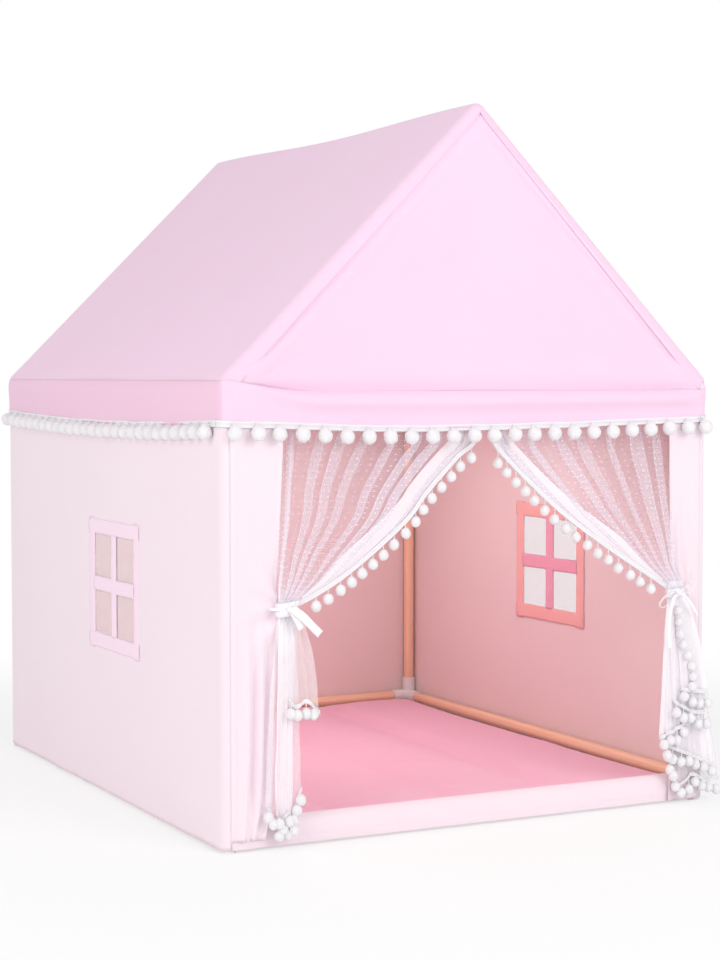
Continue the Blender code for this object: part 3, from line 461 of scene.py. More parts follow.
bandWeave, tapeWeave = 0.0014, 0.0022
roofPink = cottonMaterial("roof cotton", (0.955, 0.695, 0.865), (0.93, 0.65, 0.825))
# Painted shade: the valance's side strips, the same cloth as the front painted deeper
paintedShadePink = cottonMaterial("side valance painted shade", (0.925, 0.62, 0.78), (0.90, 0.58, 0.74))
wallPink = cottonMaterial("wall cotton", (0.95, 0.81, 0.87), (0.92, 0.775, 0.84))
lining = cottonMaterial("cotton from inside", (0.89, 0.70, 0.69), (0.86, 0.66, 0.66))
roofLining = cottonMaterial("roof from inside", (0.93, 0.68, 0.70), (0.91, 0.64, 0.67))
windowPink = cottonMaterial(
    "window band cotton", (0.995, 0.79, 0.91), (0.97, 0.75, 0.88), bandWeave)
windowInside = cottonMaterial(
    "window band from inside", (0.97, 0.50, 0.47), (0.94, 0.46, 0.44), bandWeave)
crossInside = cottonMaterial(
    "window bar from inside", (0.92, 0.42, 0.54), (0.88, 0.37, 0.50), bandWeave)
matPink = cottonMaterial("mat cotton", (0.94, 0.53, 0.67), (0.92, 0.48, 0.62))
tapeWhite = cottonMaterial("woven tape", (0.97, 0.95, 0.97), (0.93, 0.90, 0.93), tapeWeave)
tulle = tulleMaterial("dotted tulle", 0.23, 0.58, (0.96, 0.925, 1.0))
# The last colour given to the gathered and the single tulle is their painted glow
tailTulle = tulleMaterial(
    "gathered tulle", 0.80, 0.85, (1.0, 0.965, 1.0), 0.06, (1.0, 0.82, 0.95))
thinTulle = tulleMaterial(
    "single tulle", 0.50, 0.55, (0.98, 0.96, 0.99), 0.2, (0.86, 0.88, 1.0))
netTulle = tulleMaterial("window net", 0.42, 0.3, (0.87, 0.87, 0.88))
wrapTulle = tulleMaterial("wrapped tulle", 1.25, 0.95, (0.97, 0.95, 0.985), 0.04)
openTape = tulleMaterial("openwork tape", 0.85, 0.0, (0.98, 0.96, 0.99), 0.04, cover=tapeCover)
pomWhite = yarnMaterial("pom-pom yarn")
pine = pineMaterial("pine")
socketWhite = plasticMaterial("moulded socket")
print("materials made")


# Frame of dowels

poles = {"stop": 0.016, "rafterStop": 0.036, "facets": 28, "bevel": 0.0015, "grainShift": 0.37}

def makePole(name, start, end, sagged=False):
    rod, laid = placedRod(start, end, tent["poleRadius"], poles["facets"])
    pole = joined(name, [rod])
    onMesh(
        pole, lambda: bpy.ops.mesh.bevel(offset=poles["bevel"], segments=2),
        lambda face: abs(face.normal.z) > 0.9,
    )
    if sagged:
        modify(pole, "SUBSURF", subdivision_type="SIMPLE", levels=4, render_levels=4)
    layer = pole.data.uv_layers.active.data
    for loop in pole.data.loops:
        spot = pole.data.vertices[loop.vertex_index].co
        around = abs(math.atan2(spot.y, spot.x)) * tent["poleRadius"]
        layer[loop.index].uv = (around, spot.z + len(name) * poles["grainShift"])
    pole.data.transform(laid)
    if sagged:
        for vertex in pole.data.vertices:
            vertex.co.z -= ridgeSag(vertex.co.y)
    pick(pole)
    bpy.ops.object.shade_smooth_by_angle(angle=math.radians(40))
    pole.data.materials.append(pine)
    return carried(pole, "tent", [name])


def ridgeSag(y):
    if abs(y) >= tent["free"]:
        return 0.0
    return tent["ridgeSag"] * (1 + math.cos(math.pi * y / tent["free"])) / 2


def makePoles():
    x, y = tent["poleX"], tent["poleY"]
    stop = poles["stop"]
    rails = (("floor_rail", tent["floorRail"]), ("eave_rail", tent["eave"]))
    for end, sy in ends:
        for level, z in rails:
            makePole(f"{level}_{end}", (-x + stop, sy * y, z), (x - stop, sy * y, z))
        for hand, sx in hands:
            low, high = tent["floorRail"] + stop, tent["eave"] - stop
            makePole(f"upright_{end}_{hand}", (sx * x, sy * y, low), (sx * x, sy * y, high))
            along = Vector((-sx * math.cos(slope), 0, math.sin(slope)))
            foot = Vector((sx * x, sy * y, tent["eave"])) + along * poles["rafterStop"]
            top = Vector((0, sy * y, tent["ridge"])) - along * stop
            makePole(f"rafter_{end}_{hand}", foot, top)
    for hand, sx in hands:
        for level, z in rails:
            makePole(f"{level}_{hand}", (sx * x, -y + stop, z), (sx * x, y - stop, z))
    makePole("ridge_pole", (0, -y + stop, tent["ridge"]), (0, y - stop, tent["ridge"]), True)


makePoles()
for nodeName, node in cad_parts.items():
    if "corner" in nodeName or "joint" in nodeName:
        node.data.materials.clear()
        node.data.materials.append(socketWhite)
print("frame made")


# Roof

roof = {
    "stations": 64,
    "turnSteps": 6,
    "acrossSteps": 44,
    "sag": 0.0035,
    "ripple": 0.0011,
    "slack": 0.0016,
    "eaveGather": 0.0010,
    "corner": 0.0012,    # depth of the creases from the corners
    "bandTop": 0.003,
    "bandEave": 0.013,
    "bands": (1.0, 0.75, 0.5, 0.25),
    "overlap": 0.0011,
    "fullness": 0.0010,
    "sewnIn": 0.0030,
}

def roofStations():
    # (y, turn towards the end, share of the flat band past the turn)
    y = tent["poleY"]
    bands = roof["bands"]
    turns = [math.pi / 2 * k / roof["turnSteps"] for k in range(1, roof["turnSteps"] + 1)]
    straight = [y * (2 * k / roof["stations"] - 1) for k in range(roof["stations"] + 1)]
    stations = [(-y, math.pi / 2, band) for band in bands]
    stations += [(-y, turn, 0.0) for turn in reversed(turns)]
    stations += [(spot, 0.0, 0.0) for spot in straight]
    stations += [(y, -turn, 0.0) for turn in turns]
    return stations + [(y, -math.pi / 2, band) for band in reversed(bands)]


def roofAcross():
    # (side, share from the ridge to the eave, tilt of the cloth)
    steps = roof["acrossSteps"]
    half = [(0.0, slope * (k + 0.5) / 4) for k in range(3)]
    half += [(k / steps, slope) for k in range(steps + 1)]
    half += [(1.0, slope + (math.pi / 2 - slope) * k / 4) for k in (1, 2, 3, 4)]
    left = [(-1.0, *row) for row in reversed(half)]
    return left + [(1.0, *row) for row in half]


def roofBelly(y, hand, share):
    # How far the slack cloth stands off the straight line between its poles
    inner = math.sin(math.pi * share) * max(0.0, 1 - (y / tent["poleY"]) ** 4)
    belly = -roof["sag"] * inner
    belly += roof["ripple"] * soft(y * 3.1, share * 2.3, 4.0 + hand) * inner * 2.2
    belly += roof["slack"] * soft(y * 1.3 + 7, share * 6.0, hand * 3) * inner
    belly += roof["eaveGather"] * bump(share - 0.985, 0.02) * (1 + soft(y * 14, hand, 2))
    creases = math.cos(14 * math.atan2(share + 0.02, abs(abs(y) - tent["poleY"]) + 0.02))
    corner = math.hypot((1 - share) * 0.7, abs(y) - tent["poleY"])
    return belly + roof["corner"] * creases * bump(corner - 0.12, 0.08) * min(1.0, inner * 3)


def makeRoof():
    stations = roofStations()
    across = roofAcross()
    radius = tent["outside"]

    def place(u, v):
        y, turn, band = stations[round(u * (len(stations) - 1))]
        hand, share, tilt = across[round(v * (len(across) - 1))]
        ridge = tent["ridge"] - ridgeSag(y)
        centre = Vector((
            hand * tent["poleX"] * share, y, ridge + (tent["eave"] - ridge) * share
        ))
        out = Vector((hand * math.sin(tilt), 0.0, math.cos(tilt)))
        lean = math.sin(turn)
        spot = centre + out * math.cos(turn) * radius - Vector((0, 1, 0)) * lean * radius
        if not band:
            return spot + out * roofBelly(y, hand, share)
        wide = roof["bandTop"] + (roof["bandEave"] - roof["bandTop"]) * share
        if tilt > slope:
            fan = slope * (math.pi / 2 - tilt) / (math.pi / 2 - slope)
            out = Vector((hand * math.sin(fan), 0.0, math.cos(fan)))
        spot -= out * (wide * band)
        lift = roof["overlap"] + roof["fullness"] * math.sin(math.pi * band) * share
        if spot.x * hand < 0:
            spot.x = 0.0
        seam = frontSeam(spot.x) if y < 0 else tent["seam"]
        lift -= roof["sewnIn"] * bump(max(spot.z - seam, 0.0), 0.006)
        spot.z = max(spot.z, seam - 0.003)
        spot.y -= math.copysign(lift, lean)
        return spot

    piece = clothPiece(
        "roofCover", (len(stations) - 1, len(across) - 1), place, (1.40, 1.62),
        (roofPink, roofLining), ["roof_left", "roof_right"], "roof_pink", weld,
    )


gable = {
    "columns": 110,
    "rows": 72,
    "inset": 0.0004,
    "bulge": 0.0042,
    "sleeve": 0.455,
    "swoop": 0.19,       # how far the front seam rises from the left corner
    "swoopTop": 0.845,
    "backLow": 0.820,
    "hemRoll": 0.0050,
    "sewnIn": 0.0030,
    "rafterSeam": 0.0022,
    "rafterRoll": 0.0020,
    "pull": 0.0034,
}

def frontSeam(x):
    # The seam runs level and swoops up to the eave at the left of the doorway
    lift = min(max((gable["swoop"] - tent["poleX"] - x) / gable["swoop"], 0.0), 1.0)
    return tent["seam"] + (gable["swoopTop"] - tent["seam"]) * lift**2


def makeGable(end, sign):
    def place(u, v):
        x = (u - 0.5) * 2 * (tent["poleX"] - 0.0006)
        low = frontSeam(x) - 0.004 if sign < 0 else gable["backLow"]
        high = tent["ridge"] - abs(x) * math.tan(slope) - 0.001
        low = min(low, high - 0.002)
        z = low + (high - low) * v
        above = z - low
        edge = (high - z) * math.cos(slope)
        inner = ease(edge / 0.05) * ease(above / 0.03)
        # Its seams can't sink in where the sleeves stand behind them
        clear = ease((gable["sleeve"] - abs(x)) / 0.02)
        out = gable["bulge"] * inner * (0.4 + 0.6 * soft(x * 2.1, z * 2.3, sign))
        out += gable["hemRoll"] * bump(above - 0.032, 0.018) * ease((edge + 0.01) / 0.04)
        out -= gable["sewnIn"] * bump(above, 0.012) * clear
        # The seam along the rafter pulls the cloth in beside a narrow ridge
        clear *= ease((abs(x) - 0.035) / 0.02)
        out -= gable["rafterSeam"] * bump(edge - 0.014, 0.005) * ease(above / 0.02) * clear
        out += gable["rafterRoll"] * bump(edge - 0.026, 0.009) * ease(above / 0.03)
        # The pull from the corners of the eave towards the middle
        for _, hand in hands:
            away = Vector((x - hand * tent["poleX"], 0, z - tent["eave"]))
            angle = math.atan2(away.z, -hand * away.x)
            fade = bump(away.length - 0.10, 0.11) * inner
            out += gable["pull"] * math.cos(9 * angle + 0.6) * fade
        return Vector((x, sign * (abs(front) - gable["inset"] + out), z))

    piece = clothPiece(
        f"gable{end}", (gable["columns"], gable["rows"]), place, (1.02, 0.52),
        (roofPink, roofLining), [f"gable_{end.lower()}"], "gable_pink",
    )


makeRoof()
makeGable("Front", -1)
makeGable("Back", 1)
print("roof made")


# Walls and the strips beside the doorway

walls = {
    "hem": 0.006,
    "top": 0.8373,
    "turnSteps": 6,
    "off": 0.0004,       # how far the cloth stands off the poles at least
    "columns": (52, 24, 60),
    "heights": (34, 22, 30),
    "backGrid": (110, 84),
    "waves": ((0.0022, 2.4, 0.9, 0), (0.0011, 6.0, 2.2, 5)),   # depth, along, up, seed
    "hemWaves": 0.0016,
    "sagLines": 0.0008,
    "hemSeam": 0.0009,
    "hemRoll": 0.0014,
    "overlap": 0.010,    # how far the cloth reaches up behind the valance
    "windowWidth": 0.280,
    "windowHeight": 0.262,
    "sill": 0.298,
    "band": 0.030,
    "bar": 0.029,
    "forward": {"left": 0.072, "right": 0.038},
}
wallCloth = (wallPink, lining)

def flatBehindValance(z):
    return 1 - ease((z - 0.715) / 0.03)


def wallRipple(along, z, seed):
    # Slack cloth: broad upright waves, slight sag lines and a wavy hem
    out = sum(
        deep * soft(along * fast, z * up, seed + more) for deep, fast, up, more in walls["waves"]
    )
    out += walls["hemWaves"] * soft(along * 9.0, z * 1.2, seed + 9) * bump(z, 0.16)
    sagging = math.cos(z * 24 + 5 * soft(along * 3, z, seed))
    out += walls["sagLines"] * sagging * bump(z - 0.70, 0.10)
    out -= walls["hemSeam"] * bump(z - 0.034, 0.0022)
    return out * flatBehindValance(z)


def evenly(marks, counts):
    # Stations from mark to mark, each span with its own count, without the last mark
    spots = []
    for low, high, count in zip(marks, marks[1:], counts):
        spots += [low + (high - low) * k / count for k in range(count)]
    return spots


def windowEdges(hand):
    # The edges of the opening along the wall and up it
    middleY = -walls["forward"][hand]
    half = walls["windowWidth"] / 2 - walls["band"]
    low = walls["sill"] + walls["band"]
    high = walls["sill"] + walls["windowHeight"] - walls["band"]
    return middleY - half, middleY + half, low, high


def makeSideWall(hand, sign):
    # With a line of stations at each edge of the window's opening
    startY, endY, low, high = windowEdges(hand)
    middleY = -walls["forward"][hand]
    middleZ = walls["sill"] + walls["windowHeight"] / 2
    y = tent["poleY"]
    steps = walls["turnSteps"]
    stations = [(-y, math.pi / 2 * (1 - k / steps)) for k in range(steps)]
    stations += [(spot, 0.0) for spot in evenly((-y, startY, endY, y), walls["columns"])]
    stations += [(y, -math.pi / 2 * k / steps) for k in range(steps + 1)]
    heights = evenly((walls["hem"], low, high, walls["top"]), walls["heights"]) + [walls["top"]]

    def place(u, v):
        y, turn = stations[round(u * (len(stations) - 1))]
        z = heights[round(v * (len(heights) - 1))]
        free = min(1.0, (tent["poleY"] - abs(y)) / 0.05)
        calm = 0.35 if abs(y - middleY) < 0.16 and abs(z - middleZ) < 0.15 else 1.0
        out = tent["outside"] + (walls["off"] + wallRipple(y, z, sign * 3)) * free * calm
        roll = bump(z - walls["hem"], 0.012) * (1 + soft(y * 11, sign, 1))
        out += walls["hemRoll"] * roll * free
        return Vector((
            sign * (tent["poleX"] + out * math.cos(turn)), y - out * math.sin(turn), z,
        ))

    def inWindow(face):
        spot = face.center
        return startY < spot.y < endY and low < spot.z < high and abs(spot.x) > tent["poleX"]

    piece = clothPiece(
        f"wall{hand.capitalize()}", (len(stations) - 1, len(heights) - 1), place,
        (1.25, 0.831), wallCloth, [f"wall_{hand}"], "wall_cotton",
        lambda piece: onMesh(piece, lambda: bpy.ops.mesh.delete(type="FACE"), inWindow),
    )


def makeBackWall():
    def place(u, v):
        x = (u - 0.5) * 2 * (tent["poleX"] + 0.0002)
        z = walls["hem"] + (tent["header"] + walls["overlap"] - walls["hem"]) * v
        free = min(1.0, (tent["poleX"] - abs(x)) / 0.05)
        out = tent["outside"] + (walls["off"] + wallRipple(x, z, 21)) * free
        return Vector((x, tent["poleY"] + out, z))

    piece = clothPiece(
        "wallBack", walls["backGrid"], place, (1.02, 0.81), wallCloth, ["wall_back"],
        "wall_cotton",
    )


jambs = {
    "left": {
        "sign": -1, "width": 0.124, "hem": 0.020, "tie": (-0.404, 0.437), "flat": 0.092,
        "fall": (0.44, 0.16, 1.0),   # where the folds begin, over what height, how deep
        "edge": ((0.0, 1.0), (0.45, 0.87), (0.68, 0.82), (0.93, 0.76), (1.0, 0.66)),
    },
    "right": {
        "sign": 1, "width": 0.094, "hem": 0.005, "tie": (0.4435, 0.420), "flat": 0.076,
        "fall": (0.66, 0.2, 0.45),
        "edge": ((0.0, 1.0), (0.35, 0.95), (0.49, 0.90), (1.0, 0.97)),
    },
    "grid": (34, 110),
    "pull": 0.0050,
    "wave": 0.0030,
    "ridges": ((0.0050, 0.42, 0.09), (0.0085, 0.71, 0.08)),   # depth, place, width
    "valleys": ((0.0070, 0.56, 0.07), (0.0080, 0.86, 0.06)),
    "creases": 0.0012,
    "edgeRoll": 0.0022,
    "poleRoll": 0.0012,
}

def jambReach(hand, z):
    # How far the cloth beside the doorway reaches in from the side of the tent
    jamb = jambs[hand]
    share = (tent["header"] - z) / (tent["header"] - jamb["hem"])
    return jamb["width"] * through(jamb["edge"], min(max(share, 0.0), 1.0)).x


def makeJamb(hand):
    jamb = jambs[hand]
    sign = jamb["sign"]
    start = side - tent["poleX"]
    fallTop, fallHeight, fallDepth = jamb["fall"]

    def place(u, v):
        z = jamb["hem"] + (tent["header"] + walls["overlap"] - jamb["hem"]) * v
        reach = start - 0.0002 + (jambReach(hand, z) - start) * u
        x = sign * (side - reach)
        away = Vector((x - jamb["tie"][0], z - jamb["tie"][1]))
        pull = jambs["pull"] * math.cos(7 * math.atan2(away.y, away.x * sign) + 0.7)
        pull *= bump(away.length - 0.035, 0.040) * ease(away.length / 0.03)
        loose = ease((u - 0.05) / 0.4)
        low = ease((0.42 - z) / 0.4)
        wave = jambs["wave"] * math.sin(u * 7.5 + 1.2 * soft(z * 3, 1)) * low * loose
        # Folds that hang from the tie, shallower where they pass the floor rail
        fall = fallDepth * ease((fallTop - z) / fallHeight)
        drift = 0.05 * soft(z * 4, 9, sign) + 0.05 * low
        (deepA, atA, wideA), (deepB, atB, wideB) = jambs["valleys"]
        valleys = deepA * bump(u - atA + drift, wideA) + deepB * bump(u - atB + drift * 0.5, wideB)
        ridges = sum(high * bump(u - at + drift, wide) for high, at, wide in jambs["ridges"])
        wave += (ridges - valleys * ease((z - 0.055) / 0.07)) * fall
        wave += jambs["creases"] * soft(u * 3, z * 4, sign * 6) * loose
        wave += jambs["edgeRoll"] * ease((u - 0.93) / 0.07)
        wave += jambs["poleRoll"] * bump(u - 0.10, 0.03)
        out = tent["outside"] + (pull * loose + wave) * flatBehindValance(z)
        return Vector((x, -(tent["poleY"] + out), z))

    piece = clothPiece(
        f"doorStrip{hand.capitalize()}", jambs["grid"], place, (0.11, 0.80), wallCloth,
        [f"jamb_{hand}"], "wall_cotton",
    )


threshold = {
    "columns": 120,
    "hem": 0.004,
    "turned": 0.029,     # where the cloth starts round the rail
    "off": 0.0018,
    "overSleeves": 0.0020,
    "sleeve": 0.0463,
    "back": 0.034,
}

def makeThreshold():
    # The band over the front floor rail, its hem turned up at the bottom
    half = tent["poleX"] - 0.0004
    inner = tent["poleX"] - threshold["sleeve"]
    rise = threshold["turned"] - threshold["hem"]
    profile = [(-1.0, threshold["hem"] + rise * k / 10) for k in range(10)]
    for k in range(13):
        turn = math.pi * k / 12
        profile.append((-math.cos(turn), math.sin(turn)))
    profile.append((1.0, threshold["back"]))

    def place(u, v):
        row = round(v * (len(profile) - 1))
        y, z = profile[row]
        x = half * (2 * u - 1)
        # Wider where it goes over the sleeves at the corners
        past = ease((abs(x) - inner + 0.004) / 0.006)
        radius = tent["poleRadius"] + threshold["off"] + threshold["overSleeves"] * past
        y *= radius
        if 10 <= row < 23:
            z = tent["floorRail"] + radius * z
        out = 0.0
        if z < tent["floorRail"]:
            out = 0.0012 * soft(x * 5, z * 30, 3) + 0.0016 * soft(x * 14, 8) * bump(z, 0.02)
            out += 0.0006 - 0.0008 * bump(z - 0.017, 0.002)
        return Vector((x, -tent["poleY"] + y - abs(out) * (1 if y < 0 else -1), z))

    piece = clothPiece(
        "doorSill", (threshold["columns"], len(profile) - 1), place, (0.926, 0.092), wallCloth,
        ["threshold_band"], "wall_cotton", inside=Vector((0, -tent["poleY"], tent["floorRail"])),
    )


for hand, sign in hands:
    makeSideWall(hand, sign)
makeBackWall()
for hand in ("left", "right"):
    makeJamb(hand)
makeThreshold()
print("walls made")


# Windows: a frame of sewn bands with a cross, and a net behind

windows = {
    "thickness": 0.0009,
    "netThickness": 0.0005,
    "netGrid": (40, 38),
    "netBack": 0.0012,
    "planes": ((0.0004, 0.0005), (-0.0020, -0.0005)),   # past the wall, and how the strips lap
    "puff": 0.0012,
    "stitch": 0.0003,
    "edgeWave": 0.0016,
    "drift": 0.0009,
    "ears": {"upright": 0.003, "level": 0.001, "bar": 0.003},   # how far ends pass the next strip
}

def bandStrip(centre, length, wide, upright, plane, sign, seed, ears):
    # One band with slightly wavy edges, a little longer or shorter than its span
    def place(u, v):
        along = (u - 0.5) * (length + 2 * ears)
        across = (v - 0.5) * wide
        across += (v - 0.5) * windows["edgeWave"] * soft(along * 30, seed)
        across += windows["drift"] * soft(along * 16, seed + 3)
        puff = windows["puff"] * (1 - (2 * v - 1) ** 4) + 0.0004 * soft(along * 50, v, seed)
        stitch = windows["stitch"] * (bump(v - 0.1, 0.03) + bump(v - 0.9, 0.03))
        out = plane + (puff - stitch) * (1 if plane > side else -1)
        if upright:
            return Vector((sign * out, centre[0] + across, centre[1] + along))
        return Vector((sign * out, centre[0] + along, centre[1] + across))

    return clothGrid("band", 34, 10, place, (length, wide))


def makeWindow(hand, sign):
    y = -walls["forward"][hand]
    z = walls["sill"] + walls["windowHeight"] / 2
    wide, tall = walls["windowWidth"], walls["windowHeight"]
    band, bar, ears = walls["band"], walls["bar"], windows["ears"]
    parts = []
    for past, lap in windows["planes"]:
        plane = side + past
        strips = []
        for shift, seed in ((1, 1), (-1, 2)):
            centre = (y + shift * (wide - band) / 2, z)
            strips.append((windowInside, bandStrip(
                centre, tall, band, True, plane, sign, seed, ears["upright"])))
        for shift, seed in ((1, 5), (-1, 6)):
            centre = (y, z + shift * (tall - band) / 2)
            strips.append((windowInside, bandStrip(
                centre, wide, band, False, plane + lap, sign, seed, ears["level"])))
        for span, upright, over, seed in ((tall, True, 0.5, 8), (wide, False, 1.5, 9)):
            strips.append((crossInside, bandStrip(
                (y, z), span - 2 * band, bar, upright, plane + lap * over, sign, seed,
                ears["bar"])))
        for inner, strip in strips:
            parts.append(finishCloth(strip, windowPink, inner, windows["thickness"]))
    piece = joined(f"windowFrame{hand.capitalize()}", parts)
    carried(piece, "tent", [f"window_frame_{hand}"])

    def place(u, v):
        across = (u - 0.5) * (wide - band)
        up = (v - 0.5) * (tall - band)
        out = side - windows["netBack"] + 0.0004 * soft(across * 9, up * 9, 4)
        return Vector((sign * out, y + across, z + up))

    net = clothPiece(
        f"windowNet{hand.capitalize()}", windows["netGrid"], place, (wide - band, tall - band),
        (netTulle, None, windows["netThickness"]), [f"window_net_{hand}"], "tulle",
    )


for hand, sign in hands:
    makeWindow(hand, sign)
print("windows made")


# Valance: the band round the eave, with a tape and pom-poms on its hem

valance = {
    "offset": 0.0194,
    "ring": (96, 84, 6),     # steps along a side, along an end and round a corner
    "rows": 22,
    "thickness": 0.0010,
    "sideTop": 0.845,
    "sideHem": 0.768,
    "frontHem": (
        (-0.51, 0.7655), (-0.40, 0.7625), (-0.20, 0.7550),
        (0.10, 0.7560), (0.36, 0.7615), (0.51, 0.7650),
    ),
    "sideSag": 0.012,
    "length": 1.23,
    "swell": 0.0120,
    "otherSides": 0.35,      # how full the cloth is there, next to the front
    "hollow": 0.0008,
    "ripple": 0.0026,
    "hemRipple": 0.0022,
    "sewnIn": (0.0022, 0.0060),
}
trim = {
    "ring": (80, 70, 6),
    "height": 0.0125,
    "lap": 0.004,
    "threadRadius": 0.0012,
    "pomRadius": 0.0138,
    "pomPitch": 0.0443,
    "firstPom": -0.506,
    "pomOut": 0.0110,
}

def sideHem(y):
    share = 0.5 + y / valance["length"]
    return valance["sideHem"] - valance["sideSag"] * 4 * share * (1 - share)


def frontHem(x):
    return through(valance["frontHem"], x).x


def roundTent(sideSteps, endSteps, turnSteps):
    # Stations round the tent: (point on the poles' line, outward direction, face)
    x, y = tent["poleX"], tent["poleY"]
    ring = []
    corners = [(-x, -y, 180), (-x, y, 90), (x, y, 0), (x, -y, -90)]
    kinds = ("left", "back", "right", "front")
    for k, (cx, cy, start) in enumerate(corners):
        nx, ny, _ = corners[(k + 1) % 4]
        steps = sideSteps if k % 2 == 0 else endSteps
        angle = math.radians(start)
        out = Vector((math.cos(angle), math.sin(angle), 0))
        for j in range(steps):
            spot = Vector((cx + (nx - cx) * j / steps, cy + (ny - cy) * j / steps, 0))
            ring.append((spot, out, kinds[k]))
        for j in range(turnSteps):
            turn = angle - math.radians(90) * j / turnSteps
            way = Vector((math.cos(turn), math.sin(turn), 0))
            ring.append((Vector((nx, ny, 0)), way, kinds[k]))
    ring.append(ring[0])
    return ring


def hemAt(spot, way):
    share = abs(way.x)
    return sideHem(spot.y) * share + frontHem(spot.x) * (1 - share)


def makeValance():
    ring = roundTent(*valance["ring"])

    def place(u, v):
        spot, way, kind = ring[round(u * (len(ring) - 1))]
        onEnd = kind in ("front", "back")
        hem = hemAt(spot, way)
        top = valance["sideTop"] - 0.0015
        if kind == "front" or (kind == "right" and abs(way.y) > 0.01):
            top = frontSeam(spot.x) * abs(way.y) + top * (1 - abs(way.y))
        z = hem + (top - hem) * v
        along = spot.x if onEnd else spot.y
        seed = {"left": 1, "back": 2, "right": 3, "front": 4}[kind]
        full = 1.0 if kind == "front" else valance["otherSides"]
        free = abs(tent["poleX"] - abs(spot.x)) + abs(tent["poleY"] - abs(spot.y))
        free = min(free, 0.06) / 0.06
        # Fuller below the seam; at the left of the doorway the swell runs in aslant
        swell = ease((spot.x + 0.50) / 0.17) if kind == "front" else 1.0
        peak = bump(v - 0.98 + 0.28 * swell, 0.21)
        out = valance["offset"]
        out += valance["swell"] * full * peak * (0.30 + 0.70 * swell) * (0.4 + 0.6 * free)
        out -= valance["hollow"] * full * bump(v - 0.25, 0.20) * free
        ripple = valance["ripple"] * soft(along * 3.2, z * 3, seed) + 0.0008
        ripple += valance["hemRipple"] * (1 - v) * soft(along * 7.0, 2.0, seed + 4)
        out += max(ripple, 0.0) * free
        clear = ease((gable["sleeve"] - abs(spot.x)) / 0.02) if onEnd else 0.0
        least, more = valance["sewnIn"]
        out -= (least + more * full * clear) * ease((v - 0.90) / 0.10)
        return spot + way * out + Vector((0, 0, z))

    piece = clothGrid("valance", len(ring) - 1, valance["rows"], place, (4.40, 0.08))
    weld(piece)
    finishCloth(piece, roofPink, roofLining, valance["thickness"])
    # The strips along the sides are painted a deeper pink: painted shade on the same cloth as the
    # front
    piece.data.materials.append(paintedShadePink)
    for polygon in piece.data.polygons:
        if abs(polygon.normal.x) > 0.7 and polygon.material_index == 0:
            polygon.material_index = len(piece.data.materials) - 1
    nodes = [f"valance_{end}" for end in ("front", "back", "left", "right")]
    carried(piece, "tent", nodes)


poms = {"kinds": 6, "fineFrom": 0.012, "core": 0.97, "tufts": ((0.07, 2.3), (0.10, 9.0))}
pomShapes = {}

def pomShape(kind, radius):
    # A clipped ball of yarn: tufts of uneven length round a core
    deselect()
    subdivisions = 3 if radius > poms["fineFrom"] else 2
    bpy.ops.mesh.primitive_ico_sphere_add(subdivisions=subdivisions, radius=radius)
    ball = bpy.context.active_object
    shift = kind * 3.7
    (broad, broadScale), (fine, fineScale) = poms["tufts"]
    for vertex in ball.data.vertices:
        way = vertex.co.normalized()
        tuft = broad * noise.noise(way * broadScale + Vector((shift, 0, 0)))
        tuft += fine * noise.noise(way * fineScale + Vector((0, shift, 5)))
        vertex.co = way * radius * (poms["core"] + tuft)
    smoothOf(ball)
    ball.data.materials.append(pomWhite)
    pomShapes[(kind, radius)] = ball
    return ball


def pomAt(centre, radius, seed, stretch=1.0):
    kind = seed % poms["kinds"]
    shape = pomShapes.get((kind, radius)) or pomShape(kind, radius)
    copy = bpy.data.objects.new("pom", shape.data.copy())
    bpy.context.scene.collection.objects.link(copy)
    turn = Matrix.Rotation(seed * 1.37, 4, "Z") @ Matrix.Rotation(seed * 0.71, 4, "X")
    copy.data.transform(Matrix.Diagonal((1, 1, stretch, 1)) @ turn)
    copy.data.transform(Matrix.Translation(centre))
    return copy


def threadBetween(start, end, radius):
    thread, laid = placedRod(start, end, radius, 6)
    thread.data.transform(laid)
    smoothOf(thread)
    thread.data.materials.append(tapeWhite)
    return thread


def tapeStrip(points, ups, ways, height):
    # A woven tape with a corded edge above and below and a thinner middle
    rows = tape["rows"]

    def place(u, v):
        k = round(u * (len(points) - 1))
        j = round(v * (len(rows) - 1))
        up, rise = rows[j]
        lift = tape["cord"] * rise + tape["unevenness"] * soft(k * 0.9, j)
        return points[k] + ups[k] * (height * up) + ways[k] * lift

    length = sum((b - a).length for a, b in zip(points, points[1:]))
    strip = clothGrid("tape", len(points) - 1, len(rows) - 1, place, (length, 0.010))
    return finishCloth(strip, openTape, None, tape["thickness"])


